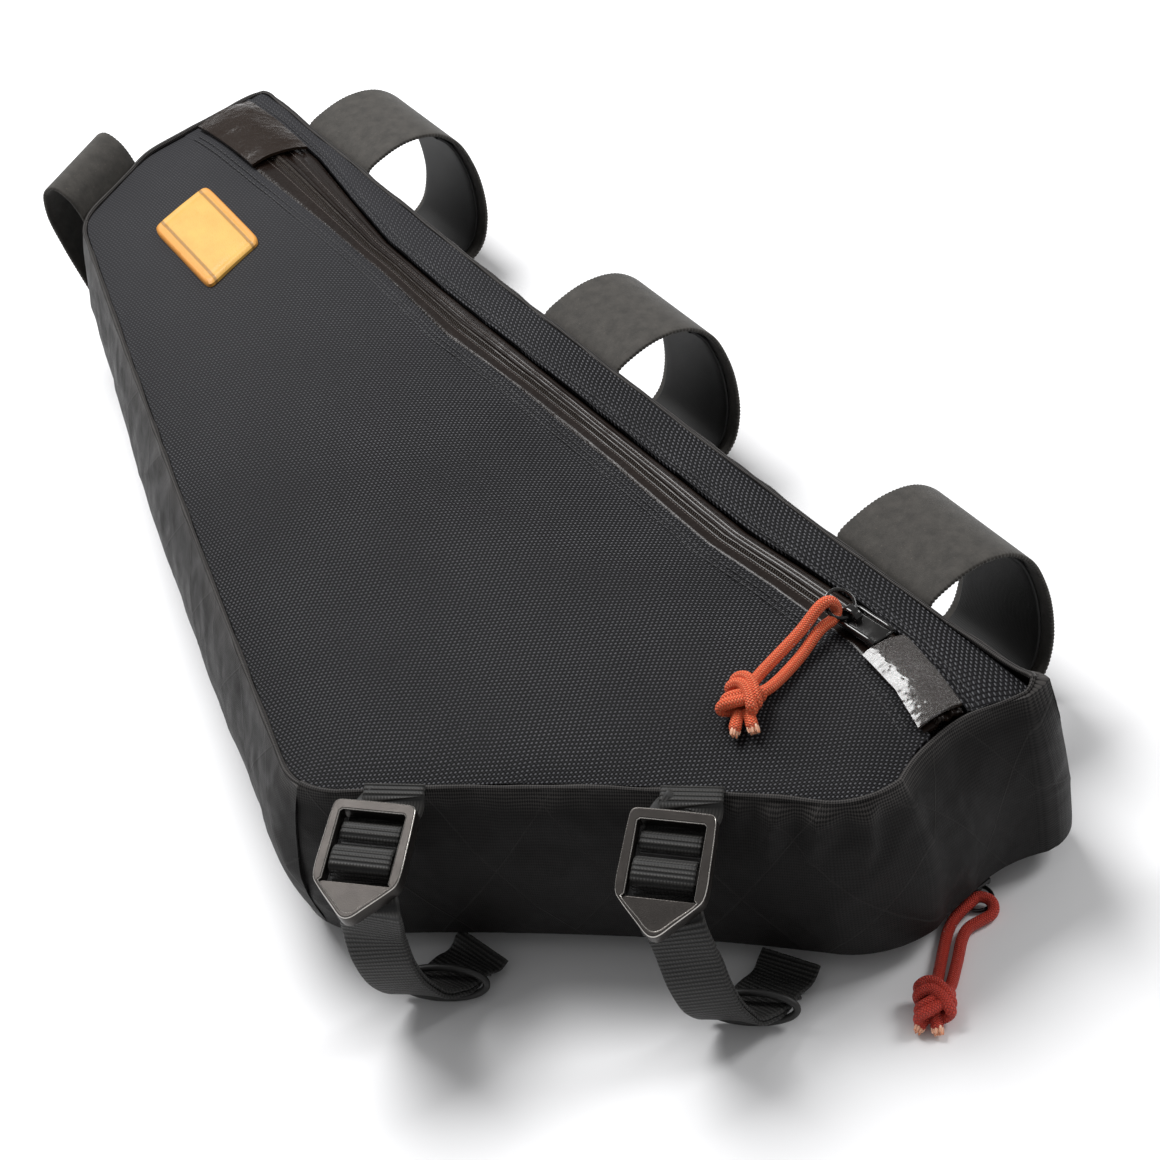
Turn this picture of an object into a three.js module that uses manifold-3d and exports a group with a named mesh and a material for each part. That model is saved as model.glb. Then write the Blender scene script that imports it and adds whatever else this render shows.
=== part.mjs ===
// Bicycle frame bag, lying on its side as it would on a table.
// Millimetres. +Z up, the floor at z = 0, +Y toward the head end of the frame,
// +X toward the top tube. The origin is on the flat underside of the lower panel.
import * as THREE from "three";
import { mergeVertices } from "three/addons/utils/BufferGeometryUtils.js";
import Module from "manifold-3d";

const wasm = await Module();
wasm.setup();

// Heights of the two seams, the cloth and the gaps
const SEAM_TOP = 68;
const SEAM_LOW = 10;
const CLOTH = 1.6;
const GAP = 0.3;
const EDGE_ROLL = 1.2;

// Rise of the upper panel and sag of the lower one, and how far in from the seam they build up
const CROWN = 10;
const CROWN_RUN = 32;
const SAG = 14;
const SAG_RUN = 40;

// Outline of the bag at its upper seam, counter-clockwise seen from above.
// Each corner: place, x, y, how much of each edge the rounding takes, steps round it.
const CORNERS = [
  { place: "seat_top", x: 89, y: -229, round: 5, steps: 2 },
  { place: "head_top", x: 86, y: 274, round: 6, steps: 2 },
  { place: "head_low", x: 26, y: 267, round: 9, steps: 2 },
  { place: "head_end", x: -16, y: 242, round: 12, steps: 2 },
  { place: "tail", x: -110, y: -107, round: 14, steps: 4 },
  { place: "seat_low", x: 21, y: -232, round: 12, steps: 2 },
];

// The edge that starts at each corner: bow (negative is inward) and its steps.
// A list of steps has shares of the edge where the zip's two lines meet it.
const EDGES = {
  seat_top: { bow: -4, stops: [0, 1], steps: [27] },
  head_top: { bow: 0, stops: [0, 0.07, 0.6, 1], steps: [2, 2, 6] },
  head_low: { bow: 0, stops: [0, 1], steps: [3] },
  head_end: { bow: 1, stops: [0, 1], steps: [11] },
  tail: { bow: -4, stops: [0, 1], steps: [7] },
  seat_low: { bow: -7, stops: [0, 0.38, 0.7, 1], steps: [6, 2, 2] },
};

// Gusset by place: how far it bulges at mid height and how far its foot stands outside its head
const GUSSET = [
  { place: "seat_top", bulge: 3, lean: 8 },
  { place: "seat_top_edge", bulge: 1.5, lean: 1.5 },
  { place: "head_top", bulge: 1.5, lean: 0.5 },
  { place: "head_low", bulge: 2.5, lean: 0.5 },
  { place: "head_end", bulge: 4, lean: 2 },
  { place: "head_end_edge", bulge: 8, lean: 4 },
  { place: "tail", bulge: 6, lean: 5 },
  { place: "tail_edge", bulge: 7, lean: 7 },
  { place: "seat_low", bulge: 5, lean: 8 },
  { place: "seat_low_edge", bulge: 7, lean: 11 },
];
const GUSSET_ROWS = [0, 0.15, 0.38, 0.62, 0.85, 1];

// The two edges of the zip strip: distance along Y and x there
const ZIP_BAND_EDGE = [
  [-226, 66], [-190, 71.5], [-162, 71], [-110, 65.5], [-50, 65], [30, 64.2],
  [90, 64], [130, 65], [167, 70], [206, 76], [240, 77.6], [272, 76.6],
];
const ZIP_PANEL_EDGE = [
  [-228, 47], [-205, 52.5], [-179, 54.5], [-138, 52], [-108, 49], [-50, 50],
  [10, 49.5], [58, 47], [109, 50], [150, 50], [209, 49.5], [260, 50], [272, 50.5],
];
const TAPE = 1.2;
const TAPE_MARGIN = 0.8;
const TAPE_LIFT = 0.5;
const COIL_RIDGE = 1.4;
const ZIP_ENDS = { from: -222.5, to: 268.5 };
// Shares of one half's width where the tape starts to rise, where the ridge starts and where it ends
const RIDGE_SHARES = { foot: 0.3, start: 0.38, end: 0.485 };

// Zip covers: thickness, shares of the zip strip's width they span, steps, and span along Y
const COVER = 1.2;
const COVER_SHARES = { from: 0.03, to: 0.97 };
const COVER_STEPS = { along: 5, across: 4 };
const SEAT_COVER = { from: -221.5, to: -187 };
const HEAD_COVER = { from: 214, to: 266 };

// Label: corners in plan, rounding and thickness
const LABEL = {
  corners: [[29.5, 215.5], [26, 162], [-3.5, 150.5], [0, 206]],
  rounding: 0.14,
  thickness: 2.2,
};

// Slider body, its rails and the bridge the ring hangs from
const SLIDER = {
  length: 19, width: 10, plate: 1.6, rail: 1.4, rise: 0.9, deck: 5.2, deckThickness: 1.1,
  bridgeAt: 5, bridge: 7, post: 1.5, bridgeWidth: 3,
};
const UPPER_SLIDER = { x: 62.8, y: -176.8, turn: 0.1, eye: 2.9 };
const LOWER_SLIDER = { x: 57, y: -224, turn: 0.12, eye: 3.25 };
const LOWER_SLIDER_BASE = 5.5;
const RING_RADIUS = 5;
const RING_WIRE = 0.65;

// Cords of the two zip pulls. Each point is x, y and how high it rides over a cord lying flat.
// A strand runs from the ring to the knot, and an end from the knot to its cut.
const CORD_RADIUS = 1.9;
const KNOT = { length: 16.5, width: 13, height: 10 };
const UPPER_PULL = {
  ringLean: [-0.3, 0.8, 0.5],
  strands: [
    [[58.4, -168.2, 7.2], [56.6, -168, 9.4], [53.4, -168, 8.9], [44, -169.6, 4.6], [22, -175.4, 2.2]],
    [[52.2, -170.6, 2.8], [48, -172, 2.4], [38, -175.6, 0.2], [22, -180.7, 1.2]],
  ],
  knot: { at: [13.7, -179.9, 3], turn: 1.4 },
  ends: [
    [[6.5, -185.6, 1.6], [4.4, -187.3, 0.6], [2, -189.6, 0.2]],
    [[10.6, -188, 1.6], [9.6, -190.4, 0.6], [8.2, -193, 0.2]],
  ],
};
const LOWER_PULL = {
  ringLean: [-0.3, -0.94, -0.12],
  strands: [
    [[52.2, -235.8, 2.2], [48.6, -236.2, 1.8], [44.6, -236.8, 0.9], [40.4, -238.8, 0], [30, -248, 0],
      [22.9, -255, 0.9]],
    [[55.4, -242.5, 0], [50.4, -242.3, 0], [44.7, -242.4, 0], [33.3, -251.7, 0], [25.3, -258.4, 0.7]],
  ],
  knot: { at: [17.2, -261.5, 3], turn: -1 },
  ends: [
    [[9.6, -263.9, 0.8], [8.1, -264.5, 0.3], [6.4, -265, 0]],
    [[12.9, -267.7, 0.8], [12.1, -268.9, 0.3], [11.1, -270.3, 0]],
  ],
};

// Straps with hook and loop on the top-tube side: width, layers and where each sits
const STRAP = { width: 50, outer: 1.7, inner: 1.4, innerWidth: 41 };
const TOP_STRAPS = [
  { name: "seat", y: -149.5, out: 0 },
  { name: "middle", y: 27.5, out: -0.5 },
  { name: "head", y: 213, out: -0.5 },
];
// Side view of a strap: how far out from the gusset's foot line, and height
const STRAP_PROFILE = [
  [3.6, 66.4], [12, 70], [24, 71.5], [36, 68.5], [45, 60], [50, 47], [52, 33],
  [51, 19], [46.5, 8.5], [38, 3.2], [26, 1.6], [14, 2.6], [5.2, 8.2],
];
const HEAD_STRAP_WIDTH = 42;
const HEAD_STRAP_OUT = 1.3;
const HEAD_STRAP_PROFILE = [
  [4.2, 67.2], [8.5, 76], [14.5, 80], [19.5, 77], [21.5, 66], [18.5, 51],
  [14, 36], [9.8, 23], [7, 13],
];

// Seat straps: ladder buckles on 20 mm webbing. Distances along the seat edge from the tail corner,
// outward from that edge, and height.
const WEBBING = { width: 20, thickness: 1.5 };
const LAYER_STEP = WEBBING.thickness + GAP;
const BUCKLE = {
  length: 40.8, width: 28.4, height: 6, window: 21.6, rim: 3.5, windowEnd: 28,
  recessedBar: { from: 8, to: 10.5, low: 0, high: 1.8 },
  middleBar: { from: 17, to: 22.5, low: 1, high: 4 },
  fieldDepth: 0.9, out: 7.3, up: 67.4, turn: 0.08,
};
const KEEPER = { across: 14.4, through: 5.4, wire: 1.2 };
// Where the webbing leaves the buckle: sideways, down its length, and how much lower than inside it
const BUCKLE_EXIT = { side: 4, down: 33, drop: 0.8 };
// Way of the doubled webbing from behind the buckle's tip down to the bag's foot:
// outward, height, distance along the edge
const SEAT_STRAPS = [
  {
    name: "tail_side", tab: 33, tabOut: -0.8, buckle: 29.5, slope: 0.28,
    way: [
      [36, 42.5, 29], [37.5, 31, 30.4], [36, 20, 32.8], [31.5, 11.2, 36.8], [24.5, 6.9, 42],
      [17.5, 5.7, 46.5],
    ],
    keeperAt: 4, foot: [[12.5, 5.9, 49.8], [8.4, 7.4, 52.5]], tailEnd: [15, 3.3, 48.5],
  },
  {
    name: "corner_side", tab: 127.5, tabOut: -2.2, buckle: 123.8, slope: 0.42,
    way: [
      [38.6, 38.5, 128.4], [40.5, 27.5, 131], [39.8, 17.5, 134], [36, 10, 137.8], [30, 6.9, 142.5],
      [22.5, 5.7, 147],
    ],
    keeperAt: 4, foot: [[15.5, 5.6, 150.5], [9.2, 7.2, 152.5]], tailEnd: [19.5, 3.3, 149.5],
  },
];

// Plain vector helpers
function vec(x, y, z) {
  return new THREE.Vector3(x, y, z);
}

function lerp(a, b, share) {
  return a + (b - a) * share;
}

// Value of a two-column table at a given first column
function readTable(table, at) {
  if (at <= table[0][0]) {
    return table[0][1];
  }
  for (let i = 1; i < table.length; i++) {
    if (at <= table[i][0]) {
      const share = (at - table[i - 1][0]) / (table[i][0] - table[i - 1][0]);
      return lerp(table[i - 1][1], table[i][1], share);
    }
  }
  return table[table.length - 1][1];
}

// The outline as stations, each with its plan position, outward normal and gusset shape
function buildStations() {
  const stations = [];
  const marks = {};
  const bulges = {};
  const count = CORNERS.length;
  const point = (corner) => new THREE.Vector2(corner.x, corner.y);
  for (let i = 0; i < count; i++) {
    const before = CORNERS[(i + count - 1) % count];
    const corner = CORNERS[i];
    const after = CORNERS[(i + 1) % count];
    const back = point(before).sub(point(corner)).normalize().multiplyScalar(corner.round);
    const ahead = point(after).sub(point(corner)).normalize().multiplyScalar(corner.round);
    const bend = new THREE.QuadraticBezierCurve(
      point(corner).add(back), point(corner), point(corner).add(ahead),
    );
    for (let k = 0; k < corner.steps; k++) {
      if (k === corner.steps / 2) {
        marks[corner.place] = stations.length;
      }
      stations.push({ at: bend.getPoint(k / corner.steps) });
    }
    const start = bend.v2;
    const endBack = point(corner).sub(point(after)).normalize().multiplyScalar(after.round);
    const end = point(after).add(endBack);
    const along = end.clone().sub(start).normalize();
    const outward = new THREE.Vector2(along.y, -along.x);
    const edge = EDGES[corner.place];
    const middle = start.clone().lerp(end, 0.5).addScaledVector(outward, 2 * edge.bow);
    const run = new THREE.QuadraticBezierCurve(start, middle, end);
    marks[corner.place + "_edge"] = stations.length + Math.round(edge.steps.reduce((a, b) => a + b) / 2);
    for (let part = 0; part < edge.steps.length; part++) {
      if (part > 0) {
        marks[corner.place + "_stop" + part] = stations.length;
      }
      for (let k = 0; k < edge.steps[part]; k++) {
        const share = lerp(edge.stops[part], edge.stops[part + 1], k / edge.steps[part]);
        stations.push({ at: run.getPoint(share) });
      }
    }
  }
  const total = stations.length;
  for (let i = 0; i < total; i++) {
    const previous = stations[(i + total - 1) % total].at;
    const next = stations[(i + 1) % total].at;
    const along = next.clone().sub(previous).normalize();
    stations[i].out = new THREE.Vector2(along.y, -along.x);
  }
  for (const row of GUSSET) {
    bulges[marks[row.place]] = row;
  }
  const known = Object.keys(bulges).map(Number).sort((a, b) => a - b);
  for (let i = 0; i < total; i++) {
    let lower = known[known.length - 1] - total;
    let upper = known[0] + total;
    for (const k of known) {
      if (k <= i) {
        lower = k;
      }
      if (k > i) {
        upper = k;
        break;
      }
    }
    const share = (i - lower) / (upper - lower);
    const eased = share * share * (3 - 2 * share);
    const from = bulges[(lower + total) % total];
    const to = bulges[upper % total];
    stations[i].bulge = lerp(from.bulge, to.bulge, eased);
    stations[i].lean = lerp(from.lean, to.lean, eased);
  }
  return { stations, marks, total };
}

const { stations, marks, total } = buildStations();

// Indexes from one marked place to the next, going round
function span(from, to) {
  const first = marks[from];
  const last = marks[to] > first ? marks[to] : marks[to] + total;
  const list = [];
  for (let i = first; i <= last; i++) {
    list.push(i % total);
  }
  return list;
}

// Distance in from the bag's straight edges, smooth near the corners
function depthInside(x, y) {
  let sum = 0;
  for (let i = 0; i < CORNERS.length; i++) {
    const a = CORNERS[i];
    const b = CORNERS[(i + 1) % CORNERS.length];
    const length = Math.hypot(b.x - a.x, b.y - a.y);
    const inside = ((b.x - a.x) * (y - a.y) - (b.y - a.y) * (x - a.x)) / length;
    sum += 1 / Math.max(inside, 0.01) ** 4;
  }
  return sum ** -0.25;
}

function upperHeight(x, y) {
  return SEAM_TOP + CROWN * (1 - Math.exp(-depthInside(x, y) / CROWN_RUN));
}

function lowerHeight(x, y) {
  return Math.max(0, SEAM_LOW - SAG * (1 - Math.exp(-depthInside(x, y) / SAG_RUN)));
}

// Closed solid from two grids of points, one over the other
function thickGrid(over, under) {
  const rows = over.length;
  const columns = over[0].length;
  const positions = [];
  const index = [];
  for (const grid of [over, under]) {
    for (const row of grid) {
      for (const p of row) {
        positions.push(p.x, p.y, p.z);
      }
    }
  }
  const top = (r, c) => r * columns + c;
  const low = (r, c) => rows * columns + r * columns + c;
  const quad = (a, b, c, d) => index.push(a, b, c, a, c, d);
  for (let r = 0; r + 1 < rows; r++) {
    for (let c = 0; c + 1 < columns; c++) {
      quad(top(r, c), top(r, c + 1), top(r + 1, c + 1), top(r + 1, c));
      quad(low(r, c), low(r + 1, c), low(r + 1, c + 1), low(r, c + 1));
    }
    quad(top(r, 0), top(r + 1, 0), low(r + 1, 0), low(r, 0));
    quad(top(r, columns - 1), low(r, columns - 1), low(r + 1, columns - 1), top(r + 1, columns - 1));
  }
  for (let c = 0; c + 1 < columns; c++) {
    quad(top(0, c), low(0, c), low(0, c + 1), top(0, c + 1));
    quad(top(rows - 1, c), top(rows - 1, c + 1), low(rows - 1, c + 1), low(rows - 1, c));
  }
  const geometry = new THREE.BufferGeometry();
  geometry.setAttribute("position", new THREE.Float32BufferAttribute(positions, 3));
  geometry.setIndex(index);
  return facingOut(geometry);
}

// Turns the faces round where the solid is inside out
function facingOut(geometry) {
  const p = geometry.attributes.position;
  const index = geometry.index.array;
  let volume = 0;
  const a = vec(0, 0, 0);
  const b = vec(0, 0, 0);
  const c = vec(0, 0, 0);
  for (let i = 0; i < index.length; i += 3) {
    a.fromBufferAttribute(p, index[i]);
    b.fromBufferAttribute(p, index[i + 1]);
    c.fromBufferAttribute(p, index[i + 2]);
    volume += a.dot(b.cross(c));
  }
  if (volume < 0) {
    for (let i = 0; i < index.length; i += 3) {
      const kept = index[i + 1];
      index[i + 1] = index[i + 2];
      index[i + 2] = kept;
    }
  }
  geometry.computeVertexNormals();
  return geometry;
}

// Grid of plan positions filled in from its four borders
function fillPlan(left, right, near, far) {
  const rows = left.length;
  const columns = near.length;
  const grid = [];
  for (let r = 0; r < rows; r++) {
    const t = r / (rows - 1);
    const row = [];
    for (let c = 0; c < columns; c++) {
      const s = c / (columns - 1);
      const mix = (axis) =>
        lerp(left[r][axis], right[r][axis], s) + lerp(near[c][axis], far[c][axis], t) -
        lerp(lerp(near[0][axis], near[columns - 1][axis], s),
          lerp(far[0][axis], far[columns - 1][axis], s), t);
      row.push({ x: mix("x"), y: mix("y") });
    }
    grid.push(row);
  }
  return grid;
}

// Cloth sheet over a plan grid between two heights
function sheet(plan, heightOver, heightUnder) {
  const over = plan.map((row) => row.map((p) => vec(p.x, p.y, heightOver(p.x, p.y))));
  const under = plan.map((row) => row.map((p) => vec(p.x, p.y, heightUnder(p.x, p.y))));
  return thickGrid(over, under);
}

// Points of the outline for a list of stations, moved outward by a share of the gusset's lean
function outlinePoints(list, leanShare) {
  return list.map((i) => {
    const station = stations[i];
    const moved = station.at.clone().addScaledVector(station.out, station.lean * leanShare);
    return { x: moved.x, y: moved.y };
  });
}

// A zip line from its table, ending on the outline at both ends, moved sideways by an amount
function zipLine(table, steps, from, to, aside) {
  const points = [];
  for (let i = 0; i <= steps; i++) {
    const y = lerp(from.y + 2 * GAP, to.y - 2 * GAP, i / steps);
    points.push({ x: readTable(table, y) + aside, y });
  }
  return points;
}

// Colours by material
const LOOKS = {
  heavy_weave: { color: 0x202124, roughness: 0.85, metalness: 0 },
  laminate: { color: 0x1a1917, roughness: 0.6, metalness: 0 },
  coated_tape: { color: 0x241c16, roughness: 0.25, metalness: 0 },
  strap: { color: 0x33302c, roughness: 0.75, metalness: 0 },
  webbing: { color: 0x17181a, roughness: 0.9, metalness: 0 },
  dark_metal: { color: 0x3a3734, roughness: 0.4, metalness: 0.8 },
  black_metal: { color: 0x101010, roughness: 0.25, metalness: 0.7 },
  black_rubber: { color: 0x121212, roughness: 0.55, metalness: 0 },
  orange_cord: { color: 0xe8431e, roughness: 0.8, metalness: 0 },
  tan_leather: { color: 0xb98a4a, roughness: 0.6, metalness: 0 },
};

const bag = new THREE.Group();
bag.name = "bicycle_frame_bag";

function addPart(name, geometry, look) {
  const mesh = new THREE.Mesh(geometry, new THREE.MeshStandardMaterial(LOOKS[look]));
  mesh.name = name;
  bag.add(mesh);
}

// Solid for joining and cutting, made from a three.js geometry
function toSolid(geometry) {
  const bare = geometry.clone();
  bare.deleteAttribute("normal");
  bare.deleteAttribute("uv");
  const merged = mergeVertices(bare, 0.001);
  return new wasm.Manifold(new wasm.Mesh({
    numProp: 3,
    vertProperties: merged.attributes.position.array,
    triVerts: new Uint32Array(merged.index.array),
  }));
}

function fromSolid(solid) {
  const mesh = solid.getMesh();
  const geometry = new THREE.BufferGeometry();
  geometry.setAttribute("position", new THREE.BufferAttribute(mesh.vertProperties, 3));
  geometry.setIndex(new THREE.BufferAttribute(mesh.triVerts, 1));
  geometry.computeVertexNormals();
  return geometry;
}

// Box between two corners, as a solid
function boxSolid(low, high) {
  const size = high.clone().sub(low);
  const geometry = new THREE.BoxGeometry(size.x, size.y, size.z);
  geometry.translate((low.x + high.x) / 2, (low.y + high.y) / 2, (low.z + high.z) / 2);
  return toSolid(geometry);
}

// Panels and the zip strip between them
const ROWS = span("seat_top", "head_top").length - 1;

function stationPoint(place) {
  const at = stations[marks[place]].at;
  return { x: at.x, y: at.y };
}

function addPanels() {
  const nearPanelStop = stationPoint("seat_low_stop1");
  const nearBandStop = stationPoint("seat_low_stop2");
  const farBandStop = stationPoint("head_top_stop1");
  const farPanelStop = stationPoint("head_top_stop2");
  const upperBack = (x, y) => upperHeight(x, y) - CLOTH;

  const wrap = outlinePoints(span("head_low", "seat_low"), 0).reverse();
  const panelZip = zipLine(ZIP_PANEL_EDGE, ROWS, nearPanelStop, farPanelStop, -GAP);
  const panelNear = outlinePoints(span("seat_low", "seat_low_stop1"), 0);
  const panelFar = outlinePoints(span("head_top_stop2", "head_low"), 0).reverse();
  panelNear[panelNear.length - 1] = panelZip[0];
  panelFar[panelFar.length - 1] = panelZip[ROWS];
  addPart("main_panel", sheet(fillPlan(wrap, panelZip, panelNear, panelFar), upperHeight, upperBack), "heavy_weave");

  const topEdge = outlinePoints(span("seat_top", "head_top"), 0);
  const bandZip = zipLine(ZIP_BAND_EDGE, ROWS, nearBandStop, farBandStop, GAP);
  const bandNear = outlinePoints(span("seat_low_stop2", "seat_top"), 0);
  const bandFar = outlinePoints(span("head_top", "head_top_stop1"), 0).reverse();
  bandNear[0] = bandZip[0];
  bandFar[0] = bandZip[ROWS];
  addPart("top_band", sheet(fillPlan(bandZip, topEdge, bandNear, bandFar), upperHeight, upperBack), "heavy_weave");
}

// One half of the zip: coated tape that rises to a ridge over the coil
function zipHalf(shares, lifts) {
  const over = [];
  const under = [];
  for (let r = 0; r <= ROWS; r++) {
    const y = lerp(ZIP_ENDS.from, ZIP_ENDS.to, r / ROWS);
    const right = readTable(ZIP_BAND_EDGE, y) - TAPE_MARGIN;
    const left = readTable(ZIP_PANEL_EDGE, y) + TAPE_MARGIN;
    const overRow = [];
    const underRow = [];
    for (let c = 0; c < shares.length; c++) {
      const x = lerp(left, right, shares[c]);
      const z = upperHeight(x, y) + lifts[c];
      overRow.push(vec(x, y, z));
      underRow.push(vec(x, y, z - TAPE));
    }
    over.push(overRow);
    under.push(underRow);
  }
  return thickGrid(over, under);
}

function addZip() {
  const flat = TAPE_LIFT;
  const ridge = TAPE_LIFT + COIL_RIDGE;
  const left = [0, RIDGE_SHARES.foot, RIDGE_SHARES.start, RIDGE_SHARES.end];
  const right = left.map((share) => 1 - share).reverse();
  const rise = [flat, flat, ridge, ridge];
  addPart("zip_tape_panel_side", zipHalf(left, rise), "coated_tape");
  addPart("zip_tape_band_side", zipHalf(right, [...rise].reverse()), "coated_tape");
}

// Crinkled coated patch over one end of the zip
function addCover(name, place) {
  const lift = TAPE_LIFT + COIL_RIDGE + GAP;
  const { along: steps, across } = COVER_STEPS;
  const plan = [];
  for (let r = 0; r <= steps; r++) {
    const y = lerp(place.from, place.to, r / steps);
    const row = [];
    for (let c = 0; c <= across; c++) {
      const share = lerp(COVER_SHARES.from, COVER_SHARES.to, c / across);
      row.push({ x: lerp(readTable(ZIP_PANEL_EDGE, y), readTable(ZIP_BAND_EDGE, y), share), y });
    }
    plan.push(row);
  }
  const over = (x, y) => upperHeight(x, y) + lift + COVER;
  const under = (x, y) => upperHeight(x, y) + lift;
  addPart(name, sheet(plan, over, under), "coated_tape");
}

function addLowerPanel() {
  const wrap = outlinePoints(span("head_low", "seat_low"), 1).reverse();
  const topEdge = outlinePoints(span("seat_top", "head_top"), 1);
  const near = outlinePoints(span("seat_low", "seat_top"), 1);
  const far = outlinePoints(span("head_top", "head_low"), 1).reverse();
  const over = (x, y) => lowerHeight(x, y) + CLOTH;
  addPart("lower_panel", sheet(fillPlan(wrap, topEdge, near, far), over, lowerHeight), "heavy_weave");
}

// Outward offset of the gusset's inner face from the upper outline at a share of the way down
function gussetOffset(station, share) {
  return GAP + station.lean * share + station.bulge * Math.sin(Math.PI * share);
}

function addGusset(name, from, to) {
  const list = span(from, to);
  const head = SEAM_TOP + EDGE_ROLL;
  const foot = SEAM_LOW - GAP;
  const over = [];
  const under = [];
  list.forEach((i, order) => {
    const station = stations[i];
    const overRow = [];
    const underRow = [];
    const last = order === list.length - 1;
    const neighbour = stations[(i + total - 1) % total];
    const cut = last ? GAP / station.at.distanceTo(neighbour.at) : 0;
    for (const share of GUSSET_ROWS) {
      const z = lerp(head, foot, share);
      const face = (s, extra) => s.at.clone().addScaledVector(s.out, gussetOffset(s, share) + extra);
      const inner = face(station, 0).lerp(face(neighbour, 0), cut);
      const outer = face(station, CLOTH).lerp(face(neighbour, CLOTH), cut);
      overRow.push(vec(outer.x, outer.y, z));
      underRow.push(vec(inner.x, inner.y, z));
    }
    over.push(overRow);
    under.push(underRow);
  });
  addPart(name, thickGrid(over, under), "laminate");
}

// Label with rounded corners, following the panel's rise
function addLabel() {
  const rings = 2;
  const around = 24;
  const [a, b, c, d] = LABEL.corners;
  const place = (s, t) => ({
    x: lerp(lerp(a[0], b[0], t), lerp(d[0], c[0], t), s),
    y: lerp(lerp(a[1], b[1], t), lerp(d[1], c[1], t), s),
  });
  const border = [];
  for (let k = 0; k < around; k++) {
    const angle = (2 * Math.PI * k) / around + Math.PI / around;
    const power = LABEL.rounding * 2;
    const s = Math.sign(Math.cos(angle)) * Math.abs(Math.cos(angle)) ** power;
    const t = Math.sign(Math.sin(angle)) * Math.abs(Math.sin(angle)) ** power;
    border.push([s, t]);
  }
  const positions = [];
  const index = [];
  for (const side of [1, 0]) {
    for (let ring = rings; ring >= 0; ring--) {
      const size = ring / rings;
      const count = ring === 0 ? 1 : around;
      for (let k = 0; k < count; k++) {
        const p = place(0.5 + 0.5 * size * border[k][0], 0.5 + 0.5 * size * border[k][1]);
        const z = upperHeight(p.x, p.y) + GAP + side * LABEL.thickness;
        positions.push(p.x, p.y, z);
      }
    }
  }
  const half = rings * around + 1;
  for (const side of [0, half]) {
    for (let ring = 0; ring < rings; ring++) {
      for (let k = 0; k < around; k++) {
        const next = (k + 1) % around;
        const p = side + ring * around + k;
        const q = side + ring * around + next;
        const inner = ring === rings - 1 ? side + rings * around : p + around;
        const innerNext = ring === rings - 1 ? inner : q + around;
        const faces = inner === innerNext ? [[p, q, inner]] : [[p, q, innerNext], [p, innerNext, inner]];
        for (const f of faces) {
          if (side === 0) {
            index.push(f[0], f[1], f[2]);
          } else {
            index.push(f[0], f[2], f[1]);
          }
        }
      }
    }
  }
  for (let k = 0; k < around; k++) {
    const next = (k + 1) % around;
    index.push(k, half + k, half + next, k, half + next, next);
  }
  const geometry = new THREE.BufferGeometry();
  geometry.setAttribute("position", new THREE.Float32BufferAttribute(positions, 3));
  geometry.setIndex(index);
  addPart("label", facingOut(geometry), "tan_leather");
}

// Flat band of given width and thickness along a way of points, each with its across direction
function ribbon(way, width, thickness) {
  const over = [];
  const under = [];
  for (let i = 0; i < way.length; i++) {
    const before = way[Math.max(0, i - 1)].at;
    const after = way[Math.min(way.length - 1, i + 1)].at;
    const along = after.clone().sub(before).normalize();
    const across = way[i].across;
    const normal = along.clone().cross(across).normalize();
    const overRow = [];
    const underRow = [];
    for (const side of [-0.5, 0.5]) {
      const middle = way[i].at.clone().addScaledVector(across, side * width);
      overRow.push(middle.clone().addScaledVector(normal, thickness / 2));
      underRow.push(middle.clone().addScaledVector(normal, -thickness / 2));
    }
    over.push(overRow);
    under.push(underRow);
  }
  return thickGrid(over, under);
}

// Even points on a smooth curve through a side-view table, from one share of it to another,
// moved to the inside of the loop by an amount
function profilePoints(table, steps, from, to, inside) {
  const curve = new THREE.CatmullRomCurve3(table.map(([out, up]) => vec(out, 0, up)), false, "centripetal");
  const points = [];
  for (let i = 0; i <= steps; i++) {
    const share = lerp(from, to, i / steps);
    const at = curve.getPointAt(share);
    const along = curve.getTangentAt(share);
    points.push({ out: at.x + along.z * inside, up: at.z - along.x * inside });
  }
  return points;
}

// Where the top edge of the outline is at a given y
function topEdgeX(y) {
  const list = span("seat_top", "head_top");
  for (let k = 1; k < list.length; k++) {
    const a = stations[list[k - 1]].at;
    const b = stations[list[k]].at;
    if (y <= b.y) {
      return lerp(a.x, b.x, (y - a.y) / (b.y - a.y));
    }
  }
  return stations[list[list.length - 1]].at.x;
}

function addTopStrap(place) {
  const half = STRAP.width / 2;
  const base = place.out + Math.max(topEdgeX(place.y - half), topEdgeX(place.y + half));
  const layer = (name, from, to, inside, width, thickness) => {
    const points = profilePoints(STRAP_PROFILE, 22, from, to, inside);
    const way = points.map((p) => ({ at: vec(base + p.out, place.y, p.up), across: vec(0, 1, 0) }));
    addPart(name, ribbon(way, width, thickness), "strap");
  };
  const between = (STRAP.outer + STRAP.inner) / 2 + 2 * GAP;
  layer("top_strap_" + place.name, 0, 1, 0, STRAP.width, STRAP.outer);
  layer("top_strap_" + place.name + "_lining", 0.27, 0.96, between, STRAP.innerWidth, STRAP.inner);
}

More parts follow.
